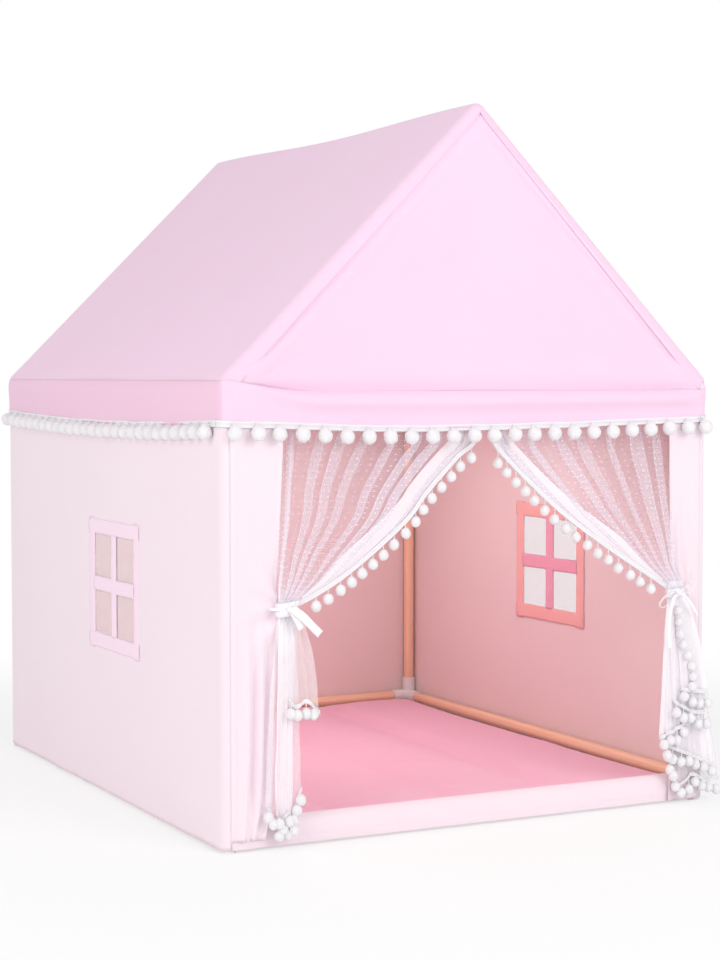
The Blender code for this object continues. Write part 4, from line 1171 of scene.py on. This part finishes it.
def makeTrim(kind, ring):
    onEnd = kind in ("front", "back")
    sign = -1 if kind in ("front", "left") else 1
    way = Vector((0, sign, 0)) if onEnd else Vector((sign, 0, 0))
    radius, lap = trim["pomRadius"], trim["lap"]
    stations = [k for k, station in enumerate(ring[:-1]) if station[2] == kind]
    stations.append(stations[-1] + 1)
    points, ways = [], []
    for k in stations:
        spot, out, _ = ring[k]
        slack = 0.0014 * soft((spot.x + spot.y) * 12, sign, 3)
        hem = hemAt(spot, out) + slack - lap - 0.0020
        points.append(spot + out * (valance["offset"] + 0.0012) + Vector((0, 0, hem)))
        ways.append(out)
    parts = [tapeStrip(points, [Vector((0, 0, 1))] * len(points), ways, trim["height"])]
    length = 2 * (tent["poleX"] if onEnd else tent["poleY"])
    count = round(length / trim["pomPitch"]) + (1 if onEnd else 0)
    for k in range(count):
        if onEnd:
            along = trim["firstPom"] + trim["pomPitch"] * k
        else:
            along = length * ((k + 0.5) / count - 0.5)
        along += 0.004 * soft(k * 1.7, sign, 7)
        hem = frontHem(along) if onEnd else sideHem(along)
        out = valance["offset"] + 0.0016 + trim["pomOut"]
        z = hem - lap + 0.0005 - radius * 0.84 + 0.0016 * soft(k * 2.3, 4, sign)
        if onEnd:
            centre = Vector((along, sign * (tent["poleY"] + out), z))
        else:
            centre = Vector((sign * (tent["poleX"] + out), along, z))
        lean = Vector((0.0, 0.0, radius * 0.8))
        parts.append(pomAt(centre, radius, k + (3 if sign > 0 else 0), 1.04))
        parts.append(threadBetween(
            centre + lean, centre + lean * 1.6 - way * 0.009, trim["threadRadius"]))
    piece = joined(f"trim{kind.capitalize()}", parts)
    carried(piece, "tent", [f"trim_{kind}"])


makeValance()
trimRing = roundTent(*trim["ring"])
for kind in ("front", "back", "left", "right"):
    makeTrim(kind, trimRing)
print("valance and trims made")


# Curtains

curtains = {
    "left": {
        "sign": -1, "tieX": -0.404, "tieZ": 0.447, "foot": 0.4350, "thread": 0.0070,
        "folds": 8, "seed": 2.0,
        "lead": (
            (0.004, 0.0), (0.006, 0.207), (0.118, 0.308), (0.287, 0.470),
            (0.400, 0.597), (0.641, 0.788), (0.80, 0.895), (1.0, 1.0),
        ),
    },
    "right": {
        "sign": 1, "tieX": 0.4435, "tieZ": 0.441, "foot": 0.4285, "thread": 0.0125,
        "folds": 7, "seed": 11.0,
        "lead": (
            (0.006, 0.0), (0.068, 0.212), (0.155, 0.326), (0.298, 0.476),
            (0.417, 0.588), (0.591, 0.725), (0.778, 0.855), (1.0, 1.0),
        ),
    },
    "flat": (0.80, 0.44),
    "grid": (270, 84),
    "neck": 0.017,
    "backPlane": -0.6135,
    "tailPlane": -0.6258,
    "swingsOut": 0.737,      # the height below which it comes forward to its tie
    "foldDepth": 0.0078,
    "turnedIn": 0.038,
    "turnedBack": 0.0020,
    "hemSteps": 150,
    "hemOut": 0.0016,
    "tapeWidth": 0.009,
    "threadRadius": 0.0009,
    "pomRadius": 0.0101,
    "pomPitch": 0.0265,
    "pomShares": (0.20, 0.965),
}

def leadingEdge(hand, v):
    c = curtains[hand]
    steps = len(c["lead"]) - 1
    spot = through([(k / steps, *row) for k, row in enumerate(c["lead"])], v)
    neck = math.copysign(curtains["neck"], c["tieX"])
    top, bottom = tent["header"], c["foot"]
    return Vector(((c["tieX"] - neck) * spot.x, 0.0, top - (top - bottom) * spot.y))


def inwardAt(hand, down):
    # Direction from the free edge into the cloth
    c = curtains[hand]
    ahead = leadingEdge(hand, min(down + 0.01, 1)) - leadingEdge(hand, max(down - 0.01, 0))
    inward = Vector((ahead.z, 0, -ahead.x)).normalized()
    return inward if inward.x * c["sign"] > 0 else -inward


def outerEdge(hand, v):
    c = curtains[hand]
    z = tent["header"] + (c["foot"] - tent["header"]) * v
    beside = side - jambReach(hand, z) + 0.004
    neck = abs(c["tieX"]) + curtains["neck"]
    gathered = ease((v - 0.85) / 0.15)
    return Vector((c["sign"] * (beside + (neck - beside) * gathered), 0.0, z))


def curtainPlane(hand, z):
    tieZ = curtains[hand]["tieZ"]
    high = curtains["swingsOut"]
    opened = ease((tent["header"] - z) / 0.033)
    closing = ease((z - tieZ) / 0.032)
    behind = curtains["backPlane"] + curtains["foldDepth"] * opened * closing
    forward = ease((high - z) / (high - tieZ - 0.060))
    return behind + (curtains["tailPlane"] - behind) * forward


def makeCurtain(hand):
    c = curtains[hand]
    n = c["folds"]
    wide, tall = curtains["flat"]

    def foldAt(u, down):
        # Where a point lies in its fold, and how far the fold laps over
        warped = u + 0.020 * math.sin(2 * math.pi * 2.3 * u + c["seed"])
        warped += 0.012 * soft(u * 6, down * 1.5, c["seed"])
        lap = 1.5 + 1.3 * ease(down / 0.30) + 1.0 * soft(u * 9, 3, c["seed"])
        return 2 * math.pi * n * warped, lap

    def place(u, v):
        # u runs from the jamb to the free edge, v from the tie up to the header
        down = 1 - v
        phase, over = foldAt(u, down)
        shift = over * math.sin(phase) / (2 * math.pi * n)
        across = min(max(u + shift * ease(u / 0.05) * ease((1 - u) / 0.05), 0.0), 1.0)
        edge = leadingEdge(hand, down)
        outer = outerEdge(hand, down)
        spot = outer.lerp(edge, across)
        gap = abs(edge.x - outer.x)
        size = curtains["foldDepth"] * 0.72 * min(1.0, gap / 0.20) ** 1.5
        size *= ease((tent["header"] - spot.z) / 0.05)
        size *= 1 - 0.75 * ease((u - 0.94) / 0.06)
        depth = math.cos(phase) + 0.2 * math.cos(2.7 * phase + 1.0)
        spot.y = curtainPlane(hand, spot.z) + size * depth
        return spot

    def gathered(u, v):
        down = 1 - v / tall
        gap = (leadingEdge(hand, down) - outerEdge(hand, down)).length
        phase, over = foldAt(u / wide, down)
        turned = 0.80 * bump(1 + over * math.cos(phase), 0.60)
        close = 0.9 * ease((wide / gap - 2.4) / 14)
        return close + turned + 0.24 * ease((u / wide - 0.50) / 0.45)

    piece = clothGrid(f"curtain{hand.capitalize()}", *curtains["grid"], place, (wide, tall))
    plainSheet(piece, tulle, gathered)
    carried(piece, "tent", [f"curtain_{hand}"])

    # The layer turned in behind the free edge
    def layer(u, v):
        down = 0.03 + 0.94 * (1 - v)
        reach = (curtains["turnedIn"] - 0.012) * ease((1 - down) / 0.25) + 0.012
        spot = leadingEdge(hand, down) + inwardAt(hand, down) * reach * u
        back = curtains["turnedBack"]
        spot.y = curtainPlane(hand, spot.z) - back + 0.0008 * math.sin(u * 5 + down * 9)
        return spot

    doubled = clothGrid(f"turnedEdge{hand.capitalize()}", 8, 80, layer, (0.038, 0.55))
    plainSheet(doubled, tailTulle)
    carried(doubled, "tent", [])


def plainSheet(piece, material, gathered=None):
    # One layer of net, with no thickness of its own, and how closely it is gathered
    if gathered:
        grown = piece.data.attributes.new("gather", "FLOAT", "POINT")
        layer = piece.data.uv_layers.active.data
        spots = {loop.vertex_index: layer[loop.index].uv for loop in piece.data.loops}
        for number, uv in spots.items():
            grown.data[number].value = gathered(*uv)
    piece.data.materials.append(material)
    smoothOf(piece)
    faceOut(piece)


def hangingPom(top, seed, parts, reach):
    radius = curtains["pomRadius"]
    length = reach * (0.9 + 0.3 * soft(seed * 1.9, 2))
    swing = Vector((0.10 * soft(seed * 2.7, 5), 0.05 * soft(seed * 1.1, 9), -1)).normalized()
    centre = top + swing * (length + radius)
    centre.z = max(centre.z, radius + 0.001)
    parts.append(threadBetween(top, centre, curtains["threadRadius"]))
    parts.append(pomAt(centre, radius, seed, 1.12))


def makeHemTrim(hand):
    count = curtains["hemSteps"]
    first, last = curtains["pomShares"]
    points = []
    shares = [0.035 + 0.955 * k / count for k in range(count + 1)]
    for share in shares:
        spot = leadingEdge(hand, share)
        off = 0.0040 * ease((0.985 - share) / 0.05)
        spot.y = curtainPlane(hand, spot.z) - off - curtains["hemOut"]
        points.append(spot)
    ups = [inwardAt(hand, share) for share in shares]
    ways = [Vector((0, -1, 0))] * len(points)
    parts = [tapeStrip(points, ups, ways, curtains["tapeWidth"])]
    run = curtains["pomPitch"] * 0.6
    for k in range(1, count):
        run += (points[k] - points[k - 1]).length
        if run > curtains["pomPitch"] and first < shares[k] < last:
            run = 0.0
            hangingPom(points[k] + Vector((0, -0.001, 0)), k, parts, curtains[hand]["thread"])
    piece = joined(f"hemTrim{hand.capitalize()}", parts)
    carried(piece, "tent", [f"hem_trim_{hand}"])


# The part below each tie: panels of one folded cloth, from the back one to the front one.
# Each gives its hem from left to right (x, z), its place in depth and its pleats
tails = {
    "left": (
        {"hem": ((-0.446, 0.084), (-0.426, 0.048), (-0.402, 0.050), (-0.376, 0.104)),
         "depth": 0.0040, "pleats": 5, "bulge": 1.7, "thin": True},
        {"hem": ((-0.428, 0.066), (-0.418, 0.048), (-0.404, 0.062), (-0.393, 0.040)),
         "depth": 0.0010, "pleats": 4, "bulge": 1.5},
        {"hem": ((-0.404, 0.268), (-0.390, 0.254), (-0.368, 0.262), (-0.343, 0.240)),
         "depth": -0.0026, "pleats": 4, "bulge": 2.2, "thin": True},
    ),
    "right": (
        {"hem": ((0.424, 0.120), (0.452, 0.036), (0.488, 0.052), (0.520, 0.038), (0.553, 0.040)),
         "depth": 0.0034, "pleats": 7, "bulge": 1.35, "thin": True},
        {"hem": ((0.415, 0.122), (0.434, 0.112), (0.470, 0.097), (0.505, 0.082), (0.542, 0.066)),
         "depth": 0.0010, "pleats": 6, "bulge": 1.4},
        {"hem": ((0.408, 0.131), (0.430, 0.141), (0.455, 0.151), (0.476, 0.160)),
         "depth": -0.0014, "pleats": 4, "bulge": 1.5},
        {"hem": ((0.436, 0.206), (0.455, 0.194), (0.482, 0.180), (0.514, 0.176)),
         "depth": -0.0030, "pleats": 4, "bulge": 1.5, "calm": 0.6},
        {"hem": ((0.452, 0.228), (0.474, 0.223), (0.500, 0.219), (0.523, 0.217)),
         "depth": -0.0046, "pleats": 3, "bulge": 1.5, "calm": 0.6},
    ),
}
tailValues = {
    "grid": (96, 56),
    "flat": (0.10, 0.40),
    "pleatDepth": 0.0020,
    "waver": 0.0022,
    "trimSteps": 60,
    "trimOut": 0.0040,
    "pomPitch": 0.735,       # as a share of the curtain's own
    "freeEdgeOut": 0.0095,
    "freeEdgePoms": (
        (0.4440, 0.388), (0.4465, 0.365), (0.4505, 0.341), (0.4575, 0.319),
        (0.4690, 0.297), (0.4790, 0.275), (0.4830, 0.253), (0.4800, 0.234),
    ),
}

def panelPoint(hand, panel, u, v, pleated=True):
    # v runs from the tie at 0 to the hem at 1
    c = curtains[hand]
    rows = panel["hem"]
    depth = panel["depth"]
    table = [(k / (len(rows) - 1), *row) for k, row in enumerate(rows)]
    n = panel["pleats"]
    phase = 2 * math.pi * n * u + depth * 900 + 0.8 * math.sin(5 * u)
    fold = 0.95 * ease(v / 0.15)
    across = u + fold * math.sin(phase) / (2 * math.pi * n) if pleated else u
    across = min(max(across, 0.0), 1.0)
    hem = through(table, across)
    neck = c["tieX"] + curtains["neck"] * 0.94 * (2 * across - 1)
    flare = 1 - (1 - v) ** panel["bulge"]
    x = neck + (hem.x - neck) * (0.15 * v + 0.85 * flare)
    x += tailValues["waver"] * soft(v * 5, u * 3, c["seed"] + depth * 500) * ease(v / 0.3)
    z = c["tieZ"] + 0.004 + (hem.y - c["tieZ"] - 0.004) * v
    pleat = tailValues["pleatDepth"] * math.cos(phase) * (0.15 + 0.85 * flare)
    y = curtains["tailPlane"] + depth * ease((v - 0.05) / 0.3) + pleat * panel.get("calm", 1.0)
    return Vector((x, y, z))


def makeTail(hand):
    panels = []
    for panel in tails[hand]:
        place = lambda u, v, panel=panel: panelPoint(hand, panel, u, 1 - v)
        sheet = clothGrid("panel", *tailValues["grid"], place, tailValues["flat"])
        net = thinTulle if panel.get("thin") else tailTulle
        plainSheet(sheet, net, lambda u, v: 0.75 * (1 - ease((1 - v / 0.40) / 0.30)))
        panels.append(sheet)
    piece = joined(f"tail{hand.capitalize()}", panels)
    return carried(piece, f"{hand}_tail", [f"tail_{hand}"])


def makeTailTrim(hand):
    count = tailValues["trimSteps"]
    pitch = curtains["pomPitch"]
    ups = [Vector((0, 0, 1))] * (count + 1)
    ways = [Vector((0, -1, 0))] * (count + 1)
    parts = []
    for row, panel in enumerate(tails[hand]):
        points = [panelPoint(hand, panel, k / count, 1.0, False) for k in range(count + 1)]
        for spot in points:
            spot.y -= tailValues["trimOut"]
        parts.append(tapeStrip(points, ups, ways, curtains["tapeWidth"] * 0.9))
        run = pitch * 0.5
        for k in range(1, count + 1):
            run += (points[k] - points[k - 1]).length
            if run > pitch * tailValues["pomPitch"]:
                run = 0.0
                top = points[k] + Vector((0, -0.004 - 0.002 * (row % 2), 0.001))
                hangingPom(top, k + 7 * row, parts, 0.002 + 0.008 * ((k + row) % 2))
    if hand == "right":
        # Pom-poms along the free edge, which falls down the front of the tail
        for k, (x, z) in enumerate(tailValues["freeEdgePoms"]):
            y = curtains["tailPlane"] - tailValues["freeEdgeOut"] - 0.0012 * (k % 2)
            parts.append(pomAt(Vector((x, y, z)), curtains["pomRadius"] * 0.94, k + 1, 1.06))
    piece = joined(f"tailTrim{hand.capitalize()}", parts)
    return carried(piece, f"{hand}_tail", [f"tail_trim_{hand}"])


# Each ribbon: its points from the knot, its width, how its width leans in degrees
# from level, or None for a ribbon on edge, its seed and its steps
ties = {
    "left": {
        "top": 0.4475, "bottom": 0.4220, "knot": 0.0056, "plump": 0.0018,
        "ribbons": (
            (((0.002, 0, 0.002), (0.020, -0.006, -0.012), (0.038, -0.007, -0.030),
              (0.057, -0.003, -0.047)), 0.015, 48, 1.0, 40),
            (((0.002, 0.001, -0.002), (0.011, -0.003, -0.020), (0.020, -0.002, -0.036)),
             0.011, 30, 2.0, 20),
            # The strap that holds the tie to the strip beside the doorway
            (((-0.012, 0.007, 0.001), (-0.022, 0.010, 0.0), (-0.030, 0.0125, 0.001),
              (-0.035, 0.0145, 0.002)), 0.0045, 90, 7.0, 20),
        ),
    },
    "right": {
        "top": 0.4320, "bottom": 0.4140, "knot": 0.0068, "plump": 0.0016,
        "ribbons": (
            (((-0.003, 0, 0), (-0.017, -0.004, -0.010), (-0.026, -0.003, -0.045),
              (-0.025, 0, -0.080), (-0.022, 0.001, -0.108)), 0.0085, 0, 3.0, 40),
            (((0, 0, 0), (-0.018, -0.002, 0.002), (-0.040, -0.003, -0.006),
              (-0.050, -0.002, -0.019), (-0.043, -0.001, -0.027), (-0.026, 0, -0.020),
              (-0.012, 0, -0.008), (0, 0, 0)), 0.0034, None, 4.0, 60),
            (((0, 0, 0), (0.010, -0.002, 0.012), (0.022, -0.003, 0.018),
              (0.030, -0.002, 0.012), (0.027, -0.001, 0.003), (0.014, 0, -0.001),
              (0, 0, 0)), 0.0034, None, 5.0, 60),
            (((0.002, 0, 0), (0.016, -0.003, -0.010), (0.032, -0.002, -0.030),
              (0.044, 0, -0.046)), 0.0050, 45, 6.0, 40),
        ),
    },
    "thickness": 0.0009,
    "curl": 0.0012,
    "wrapGrid": (120, 24),
    "wrapThickness": 0.0010,
    "wrapOver": 0.0022,
    "wrapDeep": 0.0098,
    "square": 0.8,
    "knotOut": 0.0155,
}

def ribbonStrip(points, width, across, seed, steps):
    # A flat ribbon along a smooth line of points
    table = [(k / (len(points) - 1), *spot) for k, spot in enumerate(points)]

    def place(u, v):
        curl = ties["curl"] * (soft(u * 5, seed, v) - (2 * v - 1) ** 2)
        return through(table, u) + across * (v - 0.5) * width + Vector((0, curl, 0))

    length = sum((Vector(b) - Vector(a)).length for a, b in zip(points, points[1:]))
    piece = clothGrid("ribbon", steps, 6, place, (length, width))
    return finishCloth(piece, tapeWhite, None, ties["thickness"])


def makeWrap(hand):
    # Soft gathered cloth round the neck, plumper between the pull of the ribbon at its middle
    t, seed = ties[hand], curtains[hand]["seed"]
    x, y = curtains[hand]["tieX"], curtains["tailPlane"]
    top, bottom = t["top"], t["bottom"]

    def squared(value):
        return math.copysign(abs(value) ** ties["square"], value)

    def place(u, v):
        turn = 2 * math.pi * u
        belly = t["plump"] * abs(math.sin(2 * math.pi * v)) ** 0.8
        belly += 0.0011 * math.sin(11 * turn + 3 * math.sin(3 * v)) * (0.4 + 0.6 * abs(2 * v - 1))
        belly += 0.0012 * soft(u * 14, v * 3, seed)
        half = curtains["neck"] + ties["wrapOver"] + belly
        deep = ties["wrapDeep"] + belly
        z = bottom + (top - bottom) * v + 0.0022 * math.cos(turn) + 0.0010 * soft(u * 9, 4, seed)
        return Vector((
            x + half * squared(math.cos(turn)), y + deep * squared(math.sin(turn)), z,
        ))

    band = clothGrid("wrap", *ties["wrapGrid"], place, (0.11, top - bottom))
    weld(band)
    inside = Vector((x, y, (top + bottom) / 2))
    return finishCloth(band, wrapTulle, None, ties["wrapThickness"], inside)


def makeTie(hand):
    t = ties[hand]
    x, y = curtains[hand]["tieX"], curtains["tailPlane"] - ties["knotOut"]
    z = (t["top"] + t["bottom"]) / 2
    parts = [makeWrap(hand)]
    deselect()
    bpy.ops.mesh.primitive_uv_sphere_add(segments=24, ring_count=14, radius=t["knot"])
    knot = bpy.context.active_object
    for vertex in knot.data.vertices:
        spot = vertex.co
        fold = 1 + 0.12 * math.sin(5 * math.atan2(spot.z, spot.x) + 1)
        fold += 0.1 * soft(spot.x * 200, spot.z * 200)
        spot.x *= 1.15 * fold
        spot.z *= 0.95 * fold
        spot.y *= 0.9
    knot.data.transform(Matrix.Translation((x, y + 0.003, z)))
    smoothOf(knot)
    knot.data.materials.append(tapeWhite)
    parts.append(knot)
    for steps, width, lean, seed, count in t["ribbons"]:
        points = [(x + dx, y + dy, z + dz) for dx, dy, dz in steps]
        across = Vector((0, 1, 0))
        if lean is not None:
            across = Vector((math.cos(math.radians(lean)), 0, math.sin(math.radians(lean))))
        parts.append(ribbonStrip(points, width, across, seed, count))
    piece = joined(f"tie{hand.capitalize()}", parts)
    return carried(piece, f"{hand}_tail", [f"tie_{hand}"])


for hand in ("left", "right"):
    tiePiece = makeTie(hand)
    makeCurtain(hand)
    makeHemTrim(hand)
    tailPiece = makeTail(hand)
    trimPiece = makeTailTrim(hand)
print("curtains made")


# Floor mat

mat = {
    "halfX": 0.4960,
    "halfY": 0.5779,
    "grid": (96, 112),
    "top": 0.029,
    "seam": 0.015,
    "seamOut": 0.011,
    "rim": (0.0115, 0.010, 0.014),   # height, distance from the edge and width
    "swells": 0.0032,
    "creases": 0.0036,
    "channels": 3,
    "channelDepth": 0.005,
    "pressure": 4.0,
    "mass": 0.3,
    "shrink": -0.004,
    "frames": 20,
    "ceiling": 0.0415,
}

def fillMat(piece):
    # Blows the mat up with its seam, its base and its sewn channels held
    group = piece.vertex_groups.new(name="sewn")
    step = 2 * mat["halfX"] / (mat["channels"] + 1)
    held = []
    for vertex in piece.data.vertices:
        x, y, z = vertex.co
        onChannel = abs(x / step - round(x / step)) * step < 0.004 and abs(x) < mat["halfX"] - 0.05
        onSeam = abs(x) > mat["halfX"] * 1.004 or abs(y) > mat["halfY"] * 1.004
        if onChannel or onSeam or z < mat["seam"] - 0.001:
            held.append(vertex.index)
    group.add(held, 1.0, "REPLACE")
    pick(piece)
    bpy.ops.object.modifier_add(type="CLOTH")
    cloth = piece.modifiers[-1]
    settings = {
        "quality": 5,
        "mass": mat["mass"],
        "use_pressure": True,
        "uniform_pressure_force": mat["pressure"],
        "vertex_group_mass": "sewn",
        "shrink_min": mat["shrink"],
    }
    for key, value in settings.items():
        setattr(cloth.settings, key, value)
    cloth.settings.effector_weights.gravity = 0.0
    cloth.collision_settings.use_collision = False
    cloth.point_cache.frame_start = 1
    cloth.point_cache.frame_end = mat["frames"]
    for number in range(1, mat["frames"] + 1):
        bpy.context.scene.frame_set(number)
    bpy.ops.object.modifier_apply(modifier=cloth.name)
    bpy.context.scene.frame_set(1)
    piece.vertex_groups.clear()
    print("mat filled, highest point", round(max(v.co.z for v in piece.data.vertices), 4))


def matHeight(x, y, full):
    # The height of the top: a full rim, sewn channels, slow swells and creases
    rim = min(mat["halfX"] - abs(x), mat["halfY"] - abs(y))
    high, inward, wide = mat["rim"]
    z = mat["seam"] + (mat["top"] - mat["seam"]) * full + high * bump(rim - inward, wide) * full
    for k in range(mat["channels"]):
        line = mat["halfX"] * (2 * (k + 1) / (mat["channels"] + 1) - 1)
        z -= mat["channelDepth"] * bump(x - line, 0.012) * full * ease(rim / 0.03)
    quiet = full * ease(rim / 0.05)
    z += mat["swells"] * soft(x * 5, y * 5, 3) * quiet
    return z + mat["creases"] * (0.4 - abs(soft(x * 9 + y * 4, y * 6 - x * 3, 6))) * quiet


def makeMat():
    def profile(share):
        # Height over the seam, full in the middle and round at the edge
        t = min(share, 1 - share) * 2
        return 1 - (1 - min(t / 0.017, 1.0)) ** 2.4

    def place(top):
        def spot(u, v):
            x = mat["halfX"] * (2 * u - 1)
            y = mat["halfY"] * (2 * v - 1)
            full = min(profile(u), profile(v))
            wide = 1 + mat["seamOut"] * (1 - full)
            z = matHeight(x, y, full) if top else mat["seam"] * (1 - min(1.0, full * 2.2))
            return Vector((x * wide, y * wide, z))
        return spot

    parts = [
        clothGrid(name, *mat["grid"], place(top), (0.98, 1.16))
        for name, top in (("matTop", True), ("matBase", False))
    ]
    piece = joined("floorMat", parts)
    piece.data.materials.append(matPink)
    weld(piece)
    onMesh(piece, lambda: bpy.ops.mesh.normals_make_consistent(inside=False))
    fillMat(piece)
    modify(piece, "SUBSURF", levels=1, render_levels=1)
    for vertex in piece.data.vertices:
        vertex.co.z = min(max(vertex.co.z, 0.0), mat["ceiling"])
    smoothOf(piece)
    carried(piece, "mat", ["floor_mat"])


makeMat()
print("mat made")


# Stage, lights and camera

stage = {
    "floorColour": (0.97, 0.97, 0.97, 1.0),
    "white": (1.0, 1.0, 1.0, 1.0),
    "ambient": 0.67,
    "nearWhite": 0.60,   # how much of the floor's white is its own, near the tent
    "fade": (0.9, 2.2),  # where the floor turns plain white
    # Name: (place, target, size, power); the last is daylight through the thin cloth
    "lights": {
        "key": ((1.6, -4.6, 2.6), (0, 0, 0.6), 2.6, 72.0),
        "fill": ((-4.2, -2.2, 2.2), (0, 0, 0.6), 3.0, 61.0),
        "inside": ((0, 0.05, 0.78), (0, 0.05, 0), 0.70, 3.4),
    },
}

def seenDirectly(tree):
    # 1 for a ray that shows the backdrop itself: from the camera, mirrored or sent through
    rays = addNode(tree, "LightPath", {}).node.outputs
    seen = mathOf(tree, "MAXIMUM", rays["Is Camera Ray"], rays["Is Glossy Ray"])
    return mathOf(tree, "MAXIMUM", seen, rays["Is Transmission Ray"])


def stageMaterial():
    # Pale floor that the camera sees as white away from the tent, with the shadow kept
    made, tree, shader = newMaterial("pale floor")
    wire(tree, shader, {"Base Color": stage["floorColour"], "Roughness": 0.9})
    place = addNode(tree, "TexCoord", {}, "Object")
    fade = {
        "Value": addNode(tree, "VectorMath", {0: place}, "Value", operation="LENGTH"),
        "From Min": stage["fade"][0],
        "From Max": stage["fade"][1],
        "To Min": stage["nearWhite"],
        "To Max": 1.0,
    }
    fade = addNode(tree, "MapRange", fade, "Result", interpolation_type="SMOOTHSTEP")
    share = mathOf(tree, "MULTIPLY", seenDirectly(tree), fade)
    glow = addNode(tree, "Emission", {"Color": stage["white"]})
    mix = addNode(tree, "MixShader", {0: share, 1: shader.outputs[0], 2: glow})
    wire(tree, tree.nodes["Material Output"], {"Surface": mix})
    return made


def areaLight(name, place, target, size, power):
    data = bpy.data.lights.new(name, "AREA")
    data.energy = power
    data.shape = "SQUARE"
    data.size = size
    lamp = bpy.data.objects.new(name, data)
    bpy.context.scene.collection.objects.link(lamp)
    lamp.location = place
    lamp.rotation_euler = (Vector(target) - Vector(place)).to_track_quat("-Z", "Y").to_euler()
    return lamp


def makeStage():
    deselect()
    bpy.ops.mesh.primitive_plane_add(size=60)
    floor = bpy.context.active_object
    floor.name = "floor"
    floor.data.materials.append(stageMaterial())
    lamps = {name: areaLight(name, *values) for name, values in stage["lights"].items()}
    lamps["inside"].visible_camera = False
    world = bpy.data.worlds.new("studio")
    bpy.context.scene.world = world
    world.use_nodes = True
    tree = world.node_tree
    around = tree.nodes["Background"]
    wire(tree, around, {"Color": stage["white"], "Strength": stage["ambient"]})
    white = addNode(tree, "Background", {"Color": stage["white"], "Strength": 1.0})
    mix = {0: seenDirectly(tree), 1: around.outputs[0], 2: white}
    mix = addNode(tree, "MixShader", mix)
    wire(tree, tree.nodes["World Output"], {"Surface": mix})


cameraValues = {
    "place": (-1.953, -3.928, 0.855),
    "turn": (87.03, 0.0, -27.18),    # degrees
    "sensor": 36.0,
    "lens": 76.7,
}

def makeCamera():
    data = bpy.data.cameras.new("camera")
    data.sensor_width = cameraValues["sensor"]
    data.lens = cameraValues["lens"]
    camera = bpy.data.objects.new("camera", data)
    bpy.context.scene.collection.objects.link(camera)
    camera.location = cameraValues["place"]
    camera.rotation_euler = [math.radians(angle) for angle in cameraValues["turn"]]
    bpy.context.scene.camera = camera


makeStage()
makeCamera()
bpy.context.scene.view_settings.view_transform = "Standard"
print("stage made")

for shape in pomShapes.values():
    bpy.data.objects.remove(shape)
